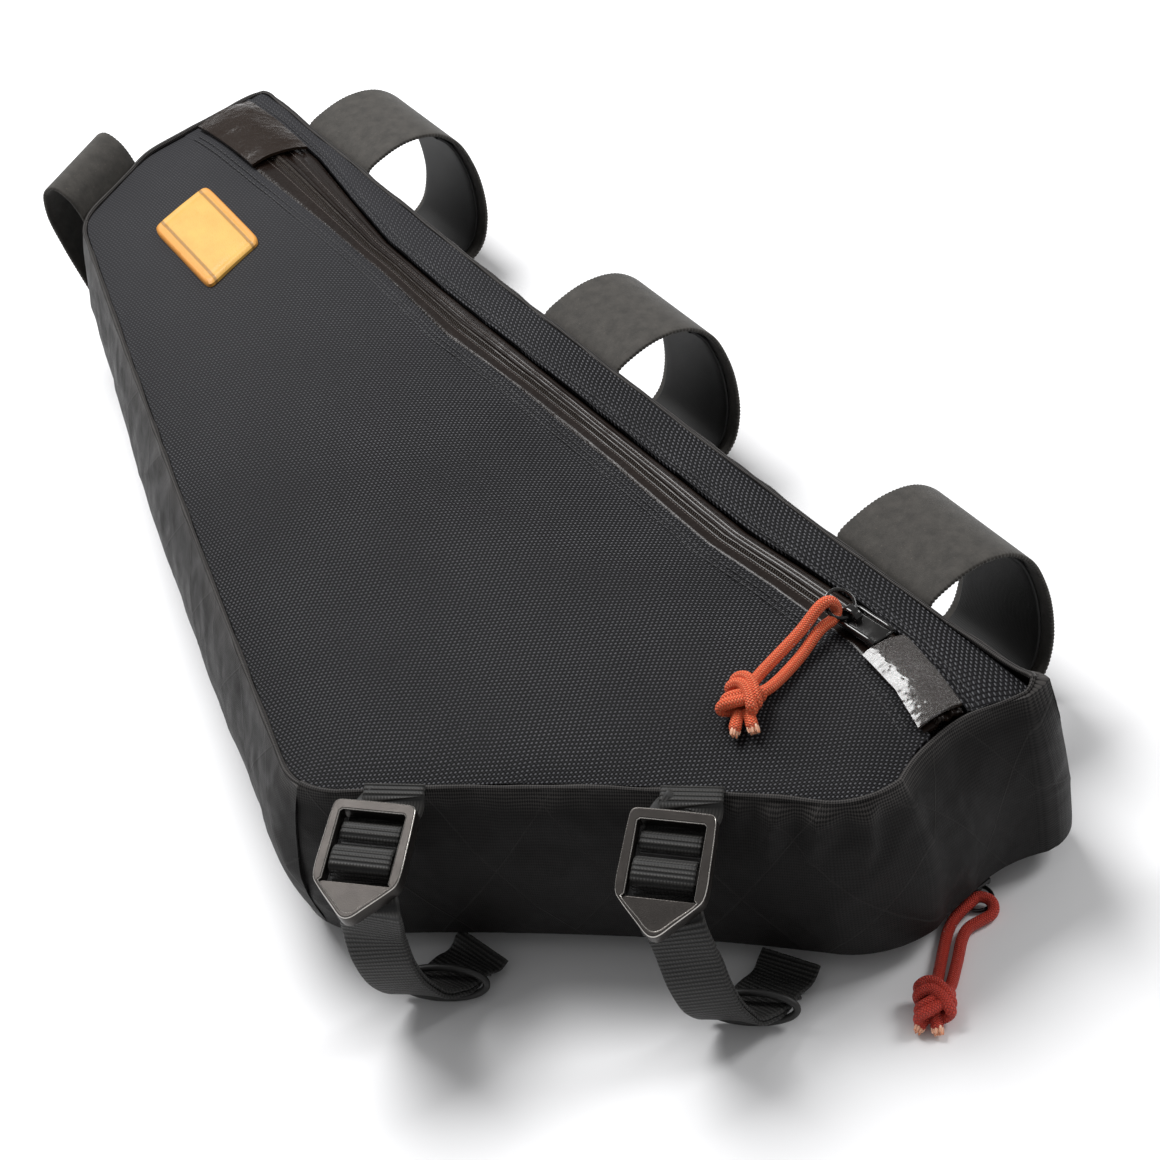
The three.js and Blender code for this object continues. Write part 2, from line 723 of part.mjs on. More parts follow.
function addHeadStrap() {
  const list = span("head_low", "head_end");
  const first = stations[list[0]].at;
  const last = stations[list[list.length - 1]].at;
  const middle = first.clone().lerp(last, 0.5);
  const along = last.clone().sub(first).normalize();
  const out = new THREE.Vector2(along.y, -along.x);
  const points = profilePoints(HEAD_STRAP_PROFILE, 18, 0, 1, 0);
  const way = points.map((p) => ({
    at: vec(middle.x + out.x * (p.out + HEAD_STRAP_OUT), middle.y + out.y * (p.out + HEAD_STRAP_OUT), p.up),
    across: vec(along.x, along.y, 0),
  }));
  addPart("head_strap", ribbon(way, HEAD_STRAP_WIDTH, STRAP.outer), "strap");
}

// Frame of the seat edge: along it from the tail corner, outward from it, and up
const SEAT_EDGE = (() => {
  const tail = CORNERS.find((c) => c.place === "tail");
  const seatLow = CORNERS.find((c) => c.place === "seat_low");
  const along = vec(seatLow.x - tail.x, seatLow.y - tail.y, 0).normalize();
  const out = vec(along.y, -along.x, 0);
  return { origin: vec(tail.x, tail.y, 0), along, out };
})();

function onSeatEdge(out, up, along) {
  return SEAT_EDGE.origin.clone()
    .addScaledVector(SEAT_EDGE.along, along)
    .addScaledVector(SEAT_EDGE.out, out)
    .add(vec(0, 0, up));
}

// Frame of one buckle: across, down its length and out of its face
function buckleFrame(place) {
  const slope = SEAT_EDGE.out.clone().multiplyScalar(Math.cos(place.slope));
  slope.z = -Math.sin(place.slope);
  const face = SEAT_EDGE.along.clone().cross(slope).normalize();
  if (face.z < 0) {
    face.negate();
  }
  const across = SEAT_EDGE.along.clone().applyAxisAngle(face, -BUCKLE.turn);
  const down = slope.clone().applyAxisAngle(face, -BUCKLE.turn);
  return { origin: onSeatEdge(BUCKLE.out, BUCKLE.up, place.buckle), across, down, face };
}

function inBuckle(frame, side, down, face) {
  return frame.origin.clone()
    .addScaledVector(frame.across, side)
    .addScaledVector(frame.down, down)
    .addScaledVector(frame.face, face);
}

// Buckle outline: pointed tab at one end, flat rim at the other
function buckleShape(inset) {
  const half = BUCKLE.width / 2 - inset;
  const top = inset;
  const tip = BUCKLE.length - inset * 1.3;
  const shape = new THREE.Shape();
  shape.moveTo(-half + 3.5, top);
  shape.quadraticCurveTo(-half + 1.2, top, -half + 0.6, top + 3);
  shape.lineTo(-half, BUCKLE.windowEnd - 6);
  shape.quadraticCurveTo(-half, BUCKLE.windowEnd - 1, -half + 2.5, BUCKLE.windowEnd + 2);
  shape.lineTo(-3.5, tip - 2.6);
  shape.quadraticCurveTo(0, tip + 1, 3.5, tip - 2.6);
  shape.lineTo(half - 2.5, BUCKLE.windowEnd + 2);
  shape.quadraticCurveTo(half, BUCKLE.windowEnd - 1, half, BUCKLE.windowEnd - 6);
  shape.lineTo(half - 0.6, top + 3);
  shape.quadraticCurveTo(half - 1.2, top, half - 3.5, top);
  shape.closePath();
  return shape;
}

function extruded(shape, depth, lift) {
  const geometry = new THREE.ExtrudeGeometry(shape, { depth, bevelEnabled: false, curveSegments: 4 });
  geometry.translate(0, 0, lift);
  return toSolid(geometry);
}

function buckleSolid() {
  const half = BUCKLE.window / 2;
  let body = extruded(buckleShape(0), BUCKLE.height, 0);
  body = body.subtract(boxSolid(vec(-half, BUCKLE.rim, -1), vec(half, BUCKLE.windowEnd, BUCKLE.height + 1)));
  const field = extruded(buckleShape(1.3), BUCKLE.fieldDepth + 1, BUCKLE.height - BUCKLE.fieldDepth);
  const fieldPart = field.intersect(boxSolid(
    vec(-BUCKLE.width, BUCKLE.windowEnd + 0.01, 0),
    vec(BUCKLE.width, BUCKLE.length, BUCKLE.height + 2),
  ));
  body = body.subtract(fieldPart);
  for (const bar of [BUCKLE.recessedBar, BUCKLE.middleBar]) {
    body = body.add(boxSolid(vec(-half - 0.5, bar.from, bar.low), vec(half + 0.5, bar.to, bar.high)));
  }
  return fromSolid(body);
}

// Webbing way inside the buckle: distance down its length, height over its back face, and sideways
function buckleWebbing(frame, table) {
  return table.map(([down, face, side = 0]) => (
    { at: inBuckle(frame, side, down, face), across: frame.across.clone() }));
}

// Smooth way through stations, blending the across directions
function smoothWay(way, steps) {
  const curve = new THREE.CatmullRomCurve3(way.map((w) => w.at), false, "centripetal");
  const result = [];
  for (let i = 0; i <= steps; i++) {
    const t = (i / steps) * (way.length - 1);
    const k = Math.min(Math.floor(t), way.length - 2);
    const across = way[k].across.clone().lerp(way[k + 1].across, t - k).normalize();
    result.push({ at: curve.getPoint(i / steps), across });
  }
  return result;
}

function addSeatStrap(place) {
  const frame = buckleFrame(place);
  const half = WEBBING.thickness / 2;

  const buckle = buckleSolid();
  const basis = new THREE.Matrix4().makeBasis(frame.across, frame.down, frame.face);
  basis.setPosition(frame.origin);
  buckle.applyMatrix4(basis);
  if (basis.determinant() < 0) {
    facingOut(buckle);
  }
  addPart("buckle_" + place.name, buckle, "dark_metal");

  // The tab: two layers from the seam, folded round the recessed bar. Columns of the fold: distance
  // down the buckle, height over its back face. Small numbers are how the cloth eases round the bar.
  const bar = BUCKLE.recessedBar;
  const under = bar.low - GAP - half;
  const above = bar.high + GAP + half;
  const wide = bar.to + GAP + half;
  const fold = buckleWebbing(frame, [
    [3, under - LAYER_STEP], [bar.from - 2.5, under - 1.7], [bar.from - 0.5, under - 0.45],
    [bar.from + 0.6, under - 0.1], [bar.to + 0.1, under - 0.1], [wide, under + 0.5],
    [wide + 0.4, (under + above) / 2], [wide, above - 0.5], [bar.to + 0.1, above + 0.1],
    [bar.from + 0.6, above + 0.1], [bar.from - 0.9, above - 0.25], [bar.from - 3, under + 0.35],
    [BUCKLE.rim + 0.4, under], [1, under],
  ]);
  const overRoll = SEAM_TOP + EDGE_ROLL + GAP + half;
  const root = (out, up) => ({ at: onSeatEdge(out, up, place.tab), across: SEAT_EDGE.along.clone() });
  const tab = [
    ...fold, root(4.9, overRoll - 2.7), root(3.2, overRoll - 1.1), root(place.tabOut, overRoll + 0.5),
  ];
  addPart("buckle_tab_" + place.name, ribbon(smoothWay(tab, 30), WEBBING.width, WEBBING.thickness), "webbing");

  // The long webbing: from the bag's foot through the keeper, round the middle bar and back as the
  // tail, in the same two columns
  const middleBar = BUCKLE.middleBar;
  const tailFace = -GAP - half;
  const loadFace = tailFace - LAYER_STEP;
  const front = middleBar.high + GAP + half + 0.15;
  const middle = (middleBar.low + middleBar.high) / 2;
  const before = middleBar.from - 2 * GAP - half - 0.3;
  const after = middleBar.to + 2 * GAP + half;
  const doubled = place.way.map(([out, up, along]) => onSeatEdge(out, up, along));
  const exitFace = (loadFace + tailFace) / 2 - BUCKLE_EXIT.drop;
  const exit = inBuckle(frame, BUCKLE_EXIT.side, BUCKLE_EXIT.down, exitFace);
  const layer = (sign) => doubled.map((at, i) => {
    const above = i > 0 ? doubled[i - 1] : exit;
    const below = i + 1 < doubled.length ? doubled[i + 1] : at.clone().multiplyScalar(2).sub(above);
    const tangent = below.clone().sub(above).normalize();
    const normal = tangent.clone().cross(SEAT_EDGE.along).normalize();
    if (normal.dot(SEAT_EDGE.out) < 0) {
      normal.negate();
    }
    return {
      at: at.clone().addScaledVector(normal, sign * LAYER_STEP / 2),
      across: frame.across.clone().lerp(SEAT_EDGE.along, (i + 1) / doubled.length).normalize(),
    };
  });
  const foot = place.foot.map(([out, up, along]) => (
    { at: onSeatEdge(out, up, along), across: SEAT_EDGE.along.clone() }));
  const through = buckleWebbing(frame, [
    [BUCKLE_EXIT.down, loadFace - BUCKLE_EXIT.drop, BUCKLE_EXIT.side], [29, loadFace - 0.2, 1.7],
    [24.5, loadFace, 0.2], [20, loadFace + 0.8], [16.8, loadFace + 1.6], [before, tailFace + 1.2], [before - 0.2, middle],
    [before + 0.7, front - 0.8], [middleBar.from + 0.3, front], [middleBar.to - 0.3, front],
    [after - 0.7, front - 0.8], [after, middle], [after + 0.6, tailFace + 1.5],
    [after + 1.8, tailFace + 0.3, 0.2], [29, tailFace - 0.2, 1.7],
    [BUCKLE_EXIT.down, tailFace - BUCKLE_EXIT.drop, BUCKLE_EXIT.side],
  ]);
  const tailEnd = { at: onSeatEdge(...place.tailEnd), across: SEAT_EDGE.along.clone() };
  const way = [...foot.reverse(), ...layer(-1).reverse(), ...through, ...layer(1), tailEnd];
  addPart("webbing_" + place.name, ribbon(smoothWay(way, 66), WEBBING.width, WEBBING.thickness), "webbing");

  // The keeper ring round both layers
  const at = doubled[place.keeperAt];
  const along = doubled[place.keeperAt + 1].clone().sub(doubled[place.keeperAt - 1]).normalize();
  const thin = along.clone().cross(SEAT_EDGE.along).normalize();
  const points = [];
  const around = 18;
  for (let k = 0; k < around; k++) {
    const angle = (2 * Math.PI * k) / around;
    points.push(at.clone()
      .addScaledVector(SEAT_EDGE.along, KEEPER.across * Math.cos(angle))
      .addScaledVector(thin, KEEPER.through * Math.sin(angle)));
  }
  addPart("keeper_" + place.name, closedTube(points, KEEPER.wire, 6), "black_rubber");
}

// Round wire along a closed way
function closedTube(points, radius, sides) {
  const curve = new THREE.CatmullRomCurve3(points, true);
  return tubeSolid(curve, radius, sides, points.length, true);
}

// Round cord along a curve, as an extruded circle
function tubeSolid(curve, radius, sides, steps, closed) {
  const circle = new THREE.Shape();
  for (let k = 0; k < sides; k++) {
    const angle = (2 * Math.PI * k) / sides;
    const x = radius * Math.cos(angle);
    const y = radius * Math.sin(angle);
    if (k === 0) {
      circle.moveTo(x, y);
    } else {
      circle.lineTo(x, y);
    }
  }
  circle.closePath();
  const geometry = new THREE.ExtrudeGeometry(circle, { steps, extrudePath: curve, bevelEnabled: false });
  geometry.deleteAttribute("normal");
  geometry.deleteAttribute("uv");
  return facingOut(mergeVertices(geometry, 0.001));
}

// Zip slider: plate, two rails and a bridge, seated over the coil ridge
function sliderSolid() {
  const halfL = SLIDER.length / 2;
  const halfW = SLIDER.width / 2;
  const halfB = SLIDER.bridge / 2;
  const halfT = SLIDER.bridgeWidth / 2;
  const top = SLIDER.plate + SLIDER.rise;
  const middle = SLIDER.bridgeAt;
  let body = boxSolid(vec(-halfW, -halfL, 0), vec(halfW, halfL, SLIDER.plate));
  body = body.add(boxSolid(vec(-halfW, -halfL, 0), vec(SLIDER.rail - halfW, halfL, top)));
  body = body.add(boxSolid(vec(halfW - SLIDER.rail, -halfL, 0), vec(halfW, halfL, top)));
  const posts = [[middle - halfB, middle - halfB + SLIDER.post], [middle + halfB - SLIDER.post, middle + halfB]];
  for (const [from, to] of posts) {
    body = body.add(boxSolid(vec(-halfT, from, 0), vec(halfT, to, SLIDER.deck)));
  }
  const deckFoot = SLIDER.deck - SLIDER.deckThickness;
  body = body.add(boxSolid(vec(-halfT, middle - halfB, deckFoot), vec(halfT, middle + halfB, SLIDER.deck)));
  return fromSolid(body);
}

// A zip pull: slider, ring through its bridge, doubled cord, knot and the two cut ends.
// Way is 1 for the upper zip and -1 for the lower one, which faces the floor. Rest gives the
// centre of a cord lying flat at a plan position.
function addPull(prefix, place, base, way, pull, rest) {
  const slider = sliderSolid();
  if (way < 0) {
    slider.applyMatrix4(new THREE.Matrix4().makeRotationY(Math.PI));
    slider.applyMatrix4(new THREE.Matrix4().makeRotationZ(Math.PI));
  }
  slider.applyMatrix4(new THREE.Matrix4().makeRotationZ(place.turn));
  slider.translate(place.x, place.y, base);
  addPart(prefix + "zip_slider", slider, "black_metal");

  const eye = vec(0, way * SLIDER.bridgeAt, way * place.eye).applyAxisAngle(vec(0, 0, 1), place.turn);
  eye.add(vec(place.x, place.y, base));
  const down = vec(...pull.ringLean).normalize();
  const flat = vec(1, 0.1, 0);
  const side = flat.clone().addScaledVector(down, -down.dot(flat)).normalize();
  const basis = new THREE.Matrix4().makeBasis(side, down, side.clone().cross(down));
  basis.setPosition(eye.clone().addScaledVector(down, RING_RADIUS));
  const ring = new THREE.TorusGeometry(RING_RADIUS, RING_WIRE, 6, 18);
  ring.deleteAttribute("normal");
  ring.deleteAttribute("uv");
  ring.applyMatrix4(basis);
  addPart(prefix + "pull_ring", facingOut(mergeVertices(ring, 0.001)), "black_metal");

  const lying = ([x, y, rise]) => vec(x, y, rest(x, y) + rise);
  const cord = (name, points, steps) => {
    const curve = new THREE.CatmullRomCurve3(points.map(lying));
    addPart(prefix + name, tubeSolid(curve, CORD_RADIUS, 8, steps, false), "orange_cord");
  };
  cord("pull_cord_a", pull.strands[0], 9);
  cord("pull_cord_b", pull.strands[1], 9);
  cord("pull_end_a", pull.ends[0], 3);
  cord("pull_end_b", pull.ends[1], 3);
  addPart(prefix + "pull_knot", knotSolid(lying(pull.knot.at), pull.knot.turn), "orange_cord");
}

// Lumpy knot: a squashed ball with three turns of cord standing out
function knotSolid(centre, turn) {
  const ball = new THREE.SphereGeometry(0.5, 12, 8);
  ball.deleteAttribute("normal");
  ball.deleteAttribute("uv");
  const merged = mergeVertices(ball, 0.001);
  const p = merged.attributes.position;
  for (let i = 0; i < p.count; i++) {
    const v = vec(0, 0, 0).fromBufferAttribute(p, i);
    const angle = Math.atan2(v.y, v.x);
    const lump = 1 - 0.07 * (1 + Math.cos(3 * angle + 6 * v.z));
    p.setXYZ(i, v.x * KNOT.width * lump, v.z * KNOT.length, v.y * KNOT.height * lump);
  }
  merged.rotateZ(turn);
  merged.translate(centre.x, centre.y, centre.z);
  return facingOut(merged);
}

// Upper pull: ring over the slider's bridge, cord lying on the main panel
function addUpperPull() {
  const seat = TAPE_LIFT + COIL_RIDGE + 3 * GAP;
  const base = upperHeight(UPPER_SLIDER.x, UPPER_SLIDER.y) + seat;
  const rest = (x, y) => upperHeight(x, y) + GAP + CORD_RADIUS;
  addPull("", UPPER_SLIDER, base, 1, UPPER_PULL, rest);
}

// Lower pull: from the zip of the far pocket, lying on the floor past the seat end
function addLowerPull() {
  addPull("lower_", LOWER_SLIDER, LOWER_SLIDER_BASE, -1, LOWER_PULL, () => GAP + CORD_RADIUS);
}

addPanels();
addZip();
addCover("zip_cover_seat_end", SEAT_COVER);
addCover("zip_cover_head_end", HEAD_COVER);
addLowerPanel();
addGusset("gusset_top", "seat_top", "head_top");
addGusset("gusset_head", "head_top", "head_end");
addGusset("gusset_bottom", "head_end", "tail");
addGusset("gusset_seat", "tail", "seat_top");
addLabel();
addUpperPull();
addLowerPull();
TOP_STRAPS.forEach(addTopStrap);
addHeadStrap();
SEAT_STRAPS.forEach(addSeatStrap);

export default bag;
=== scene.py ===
# Looks of the bicycle frame bag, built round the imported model.
# Sizes are in millimetres, as in the model, and turned into metres when a mesh is made.
# +Z up, the floor at z = 0, +Y toward the head end, +X toward the top tube.
import math

import bmesh
import bpy
import numpy as np
from mathutils import Matrix, Vector


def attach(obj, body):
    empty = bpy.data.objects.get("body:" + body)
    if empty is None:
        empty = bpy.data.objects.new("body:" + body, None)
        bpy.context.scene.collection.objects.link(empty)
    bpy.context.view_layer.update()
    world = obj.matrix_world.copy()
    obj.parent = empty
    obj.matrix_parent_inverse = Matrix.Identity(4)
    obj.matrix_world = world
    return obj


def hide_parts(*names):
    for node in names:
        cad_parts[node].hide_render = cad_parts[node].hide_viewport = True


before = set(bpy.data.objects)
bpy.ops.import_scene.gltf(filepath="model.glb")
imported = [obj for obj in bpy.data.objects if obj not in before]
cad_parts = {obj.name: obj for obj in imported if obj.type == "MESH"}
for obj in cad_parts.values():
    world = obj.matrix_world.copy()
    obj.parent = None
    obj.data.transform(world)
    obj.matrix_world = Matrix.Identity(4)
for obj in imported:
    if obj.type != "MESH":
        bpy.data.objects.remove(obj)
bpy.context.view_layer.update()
MM = 0.001

# Camera: place, turn about Z, tilt down, roll and lens
CAMERA = {"at": (-320.2, -774.4, 714.0), "yaw": 25.78, "pitch": 40.17, "roll": -11.57, "lens": 93.16}

# Heights of the seams, the cloth and the gaps, as in the model
SEAM_TOP = 68
SEAM_LOW = 10
CLOTH = 1.6
GAP = 0.3
EDGE_ROLL = 1.2
CROWN = 10
CROWN_RUN = 32
SAG = 14
SAG_RUN = 40

# Outline corners: x, y, rounding, steps
CORNERS = {
    "seat_top": (89, -229, 5, 2),
    "head_top": (86, 274, 6, 2),
    "head_low": (26, 267, 9, 2),
    "head_end": (-16, 242, 12, 2),
    "tail": (-110, -107, 14, 4),
    "seat_low": (21, -232, 12, 2),
}
# The edge from each corner: bow, shares where its parts meet, steps of each part
EDGES = {
    "seat_top": (-4, (0, 1), (27,)),
    "head_top": (0, (0, 0.07, 0.6, 1), (2, 2, 6)),
    "head_low": (0, (0, 1), (3,)),
    "head_end": (1, (0, 1), (11,)),
    "tail": (-4, (0, 1), (7,)),
    "seat_low": (-7, (0, 0.38, 0.7, 1), (6, 2, 2)),
}
# Gusset bulge at mid height and lean of its foot, by place
GUSSET = {
    "seat_top": (3, 8),
    "seat_top_edge": (1.5, 1.5),
    "head_top": (1.5, 0.5),
    "head_low": (2.5, 0.5),
    "head_end": (4, 2),
    "head_end_edge": (8, 4),
    "tail": (6, 5),
    "tail_edge": (7, 7),
    "seat_low": (5, 8),
    "seat_low_edge": (7, 11),
}
# Steps of the fine outline for each step of the model's
FINE = 9

# The two edges of the zip strip: distance along Y and x there
ZIP_BAND_EDGE = (
    (-226, 66), (-190, 71.5), (-162, 71), (-110, 65.5), (-50, 65), (30, 64.2),
    (90, 64), (130, 65), (167, 70), (206, 76), (240, 77.6), (272, 76.6),
)
ZIP_PANEL_EDGE = (
    (-228, 47), (-205, 52.5), (-179, 54.5), (-138, 52), (-108, 49), (-50, 50), (10, 49.5),
    (58, 47), (109, 50), (150, 50), (209, 49.5), (260, 50), (272, 50.5),
)
ZIP_ENDS = (-222.5, 268.5)
TAPE = 1.2
TAPE_LIFT = 0.5
COIL_RIDGE = 1.4
SEAT_COVER = (-221.5, -187)
HEAD_COVER = (214, 266)

LABEL_CORNERS = ((29.5, 215.5), (26, 162), (-3.5, 150.5), (0, 206))
LABEL_THICKNESS = 2.2

STRAP_WIDTH = 50
STRAP_OUTER = 1.7
STRAP_INNER = 1.4
STRAP_INNER_WIDTH = 41
# Top straps: distance along Y and how far out
TOP_STRAPS = {"seat": (-149.5, 0), "middle": (27.5, -0.5), "head": (213, -0.5)}
STRAP_PROFILE = (
    (3.6, 66.4), (12, 70), (24, 71.5), (36, 68.5), (45, 60), (50, 47), (52, 33),
    (51, 19), (46.5, 8.5), (38, 3.2), (26, 1.6), (14, 2.6), (5.2, 8.2),
)
# Sewn roots of the straps, flat against the gusset below its seam
STRAP_ROOT = ((2.9, 57), (3.0, 62))
HEAD_STRAP_ROOT = ((3.2, 58), (3.4, 63))
HEAD_STRAP_WIDTH = 42
HEAD_STRAP_OUT = 1.3
HEAD_STRAP_PROFILE = (
    (4.2, 67.2), (8.5, 76), (14.5, 80), (19.5, 77), (21.5, 66), (18.5, 51),
    (14, 36), (9.8, 23), (7, 13),
)

UPPER_SLIDER = {"x": 62.8, "y": -176.8, "turn": 0.1, "eye": 2.9}
LOWER_SLIDER = {"x": 57, "y": -224, "turn": 0.12, "eye": 3.25}
LOWER_SLIDER_BASE = 5.5
SLIDER_BRIDGE_AT = 5
RING_RADIUS = 5
RING_WIRE = 0.65
CORD_RADIUS = 1.9
RIDE = CORD_RADIUS + GAP

WEBBING_WIDTH = 20
WEBBING = 1.5
LAYER_STEP = WEBBING + GAP
BUCKLE = {
    "length": 40.8, "width": 28.4, "height": 6, "window": 21.6, "rim": 3.5, "window_end": 28,
    "field_depth": 0.9, "out": 7.3, "up": 67.4, "turn": 0.08,
}
RECESSED_BAR = (8, 10.5, 0, 1.8)
MIDDLE_BAR = (17, 22.5, 1, 4)
KEEPER = {"across": 14.4, "through": 5.4, "wire": 1.2}
# Where the webbing leaves the buckle: sideways, down its length, and how much lower than inside it
BUCKLE_EXIT = {"side": 4, "down": 33, "drop": 0.8}
# Way of the doubled webbing: outward, height, distance along the seat edge
SEAT_STRAPS = {
    "tail_side": {
        "tab": 33, "tab_out": -0.8, "buckle": 29.5, "slope": 0.28,
        "way": (
            (36, 42.5, 29), (37.5, 31, 30.4), (36, 20, 32.8), (31.5, 11.2, 36.8), (24.5, 6.9, 42),
            (17.5, 5.7, 46.5),
        ),
        "foot": ((12.5, 5.9, 49.8), (8.4, 7.4, 52.5)), "tail_end": (15, 3.3, 48.5),
    },
    "corner_side": {
        "tab": 127.5, "tab_out": -2.2, "buckle": 123.8, "slope": 0.42,
        "way": (
            (38.6, 38.5, 128.4), (40.5, 27.5, 131), (39.8, 17.5, 134), (36, 10, 137.8), (30, 6.9, 142.5),
            (22.5, 5.7, 147),
        ),
        "foot": ((15.5, 5.6, 150.5), (9.2, 7.2, 152.5)), "tail_end": (19.5, 3.3, 149.5),
    },
}
# Point of that way at which the rubber keeper holds the layers together
KEEPER_AT = 4


def lerp(a, b, share):
    return a + (b - a) * share


def read_table(table, at):
    """Second column of a table at a value of the first"""
    columns = np.array(table, float)
    return np.interp(at, columns[:, 0], columns[:, 1])


def unit(v):
    return v / np.linalg.norm(v, axis=-1, keepdims=True)


def smooth_step(share):
    share = np.clip(share, 0, 1)
    return share * share * (3 - 2 * share)


def noise(x, y, size, seed):
    """Smooth noise from -1 to 1 over a plane, with features of the given size"""
    table = np.random.default_rng(seed).uniform(-1, 1, (64, 64))
    u = np.asarray(x, float) / size + 1000
    v = np.asarray(y, float) / size + 1000
    i = np.floor(u).astype(int)
    j = np.floor(v).astype(int)
    s = smooth_step(u - i)
    t = smooth_step(v - j)
    near = lerp(table[i % 64, j % 64], table[(i + 1) % 64, j % 64], s)
    far = lerp(table[i % 64, (j + 1) % 64], table[(i + 1) % 64, (j + 1) % 64], s)
    return lerp(near, far, t)


def creases(x, y, size, seed):
    """Thin ridges between smooth patches, from 0 to 1"""
    return (1 - np.abs(noise(x, y, size, seed))) ** 6


def turn_angles(count):
    """Angles evenly round a circle"""
    return np.arange(count) * 2 * math.pi / count


def interpolate(at, known, points):
    """Points at the given places of a line whose own points lie at the known places"""
    return np.stack([np.interp(at, known, points[:, k]) for k in range(points.shape[1])], axis=1)


def linked(name, data):
    """New object of the scene"""
    made = bpy.data.objects.new(name, data)
    bpy.context.scene.collection.objects.link(made)
    return made


# Outline of the bag at its upper seam, in fine steps
def bezier(a, b, c, t):
    return (1 - t) ** 2 * a + 2 * t * (1 - t) * b + t * t * c


def build_outline():
    """Position, outward normal, bulge and lean of each station, and the marked places"""
    names = list(CORNERS)
    points = []
    marks = {}
    for i, name in enumerate(names):
        x, y, rounding, steps = CORNERS[name]
        corner = np.array((x, y), float)
        before = np.array(CORNERS[names[i - 1]][:2], float)
        after_name = names[(i + 1) % len(names)]
        after = np.array(CORNERS[after_name][:2], float)
        start = corner + unit(before - corner) * rounding
        end = corner + unit(after - corner) * rounding
        marks[name] = len(points) + steps * FINE // 2
        for k in range(steps * FINE):
            points.append(bezier(start, corner, end, k / (steps * FINE)))
        far = after + unit(corner - after) * CORNERS[after_name][2]
        along = unit(far - end)
        outward = np.array((along[1], -along[0]))
        bow, stops, parts = EDGES[name]
        middle = (end + far) / 2 + outward * 2 * bow
        marks[name + "_edge"] = len(points) + int(sum(parts) / 2 + 0.5) * FINE
        for part, count in enumerate(parts):
            marks[name + "_stop" + str(part)] = len(points)
            for k in range(count * FINE):
                share = lerp(stops[part], stops[part + 1], k / (count * FINE))
                points.append(bezier(end, middle, far, share))
    at = np.array(points)
    along = unit(np.roll(at, -1, axis=0) - np.roll(at, 1, axis=0))
    out = np.stack((along[:, 1], -along[:, 0]), axis=1)
    places = sorted((marks[name], GUSSET[name]) for name in GUSSET)
    total = len(at)
    known = [p[0] for p in places]
    shapes = np.array([p[1] for p in places], float)
    known = np.array([known[-1] - total] + known + [known[0] + total])
    shapes = np.concatenate((shapes[-1:], shapes, shapes[:1]))
    index = np.arange(total)
    upper = np.searchsorted(known, index, side="right")
    share = smooth_step((index - known[upper - 1]) / (known[upper] - known[upper - 1]))[:, None]
    shape = lerp(shapes[upper - 1], shapes[upper], share)
    return at, out, shape[:, 0], shape[:, 1], marks


OUTLINE, OUTWARD, BULGE, LEAN, MARKS = build_outline()
TOTAL = len(OUTLINE)


def span(first, last):
    """Indexes from one marked place to the next, going round"""
    start = MARKS[first]
    end = MARKS[last] if MARKS[last] > start else MARKS[last] + TOTAL
    return np.arange(start, end + 1) % TOTAL


def outline_points(indexes, lean_share=0.0):
    return OUTLINE[indexes] + OUTWARD[indexes] * (LEAN[indexes] * lean_share)[:, None]


def depth_inside(x, y):
    """Distance in from the bag's straight edges, smooth near the corners"""
    places = [np.array(c[:2], float) for c in CORNERS.values()]
    total = np.zeros_like(np.asarray(x, float))
    for i, a in enumerate(places):
        b = places[(i + 1) % len(places)]
        inside = ((b[0] - a[0]) * (y - a[1]) - (b[1] - a[1]) * (x - a[0])) / np.linalg.norm(b - a)
        total = total + 1 / np.maximum(inside, 0.01) ** 4
    return total ** -0.25


def upper_height(x, y):
    return SEAM_TOP + CROWN * (1 - np.exp(-depth_inside(x, y) / CROWN_RUN))


def lower_height(x, y):
    return np.maximum(0, SEAM_LOW - SAG * (1 - np.exp(-depth_inside(x, y) / SAG_RUN)))


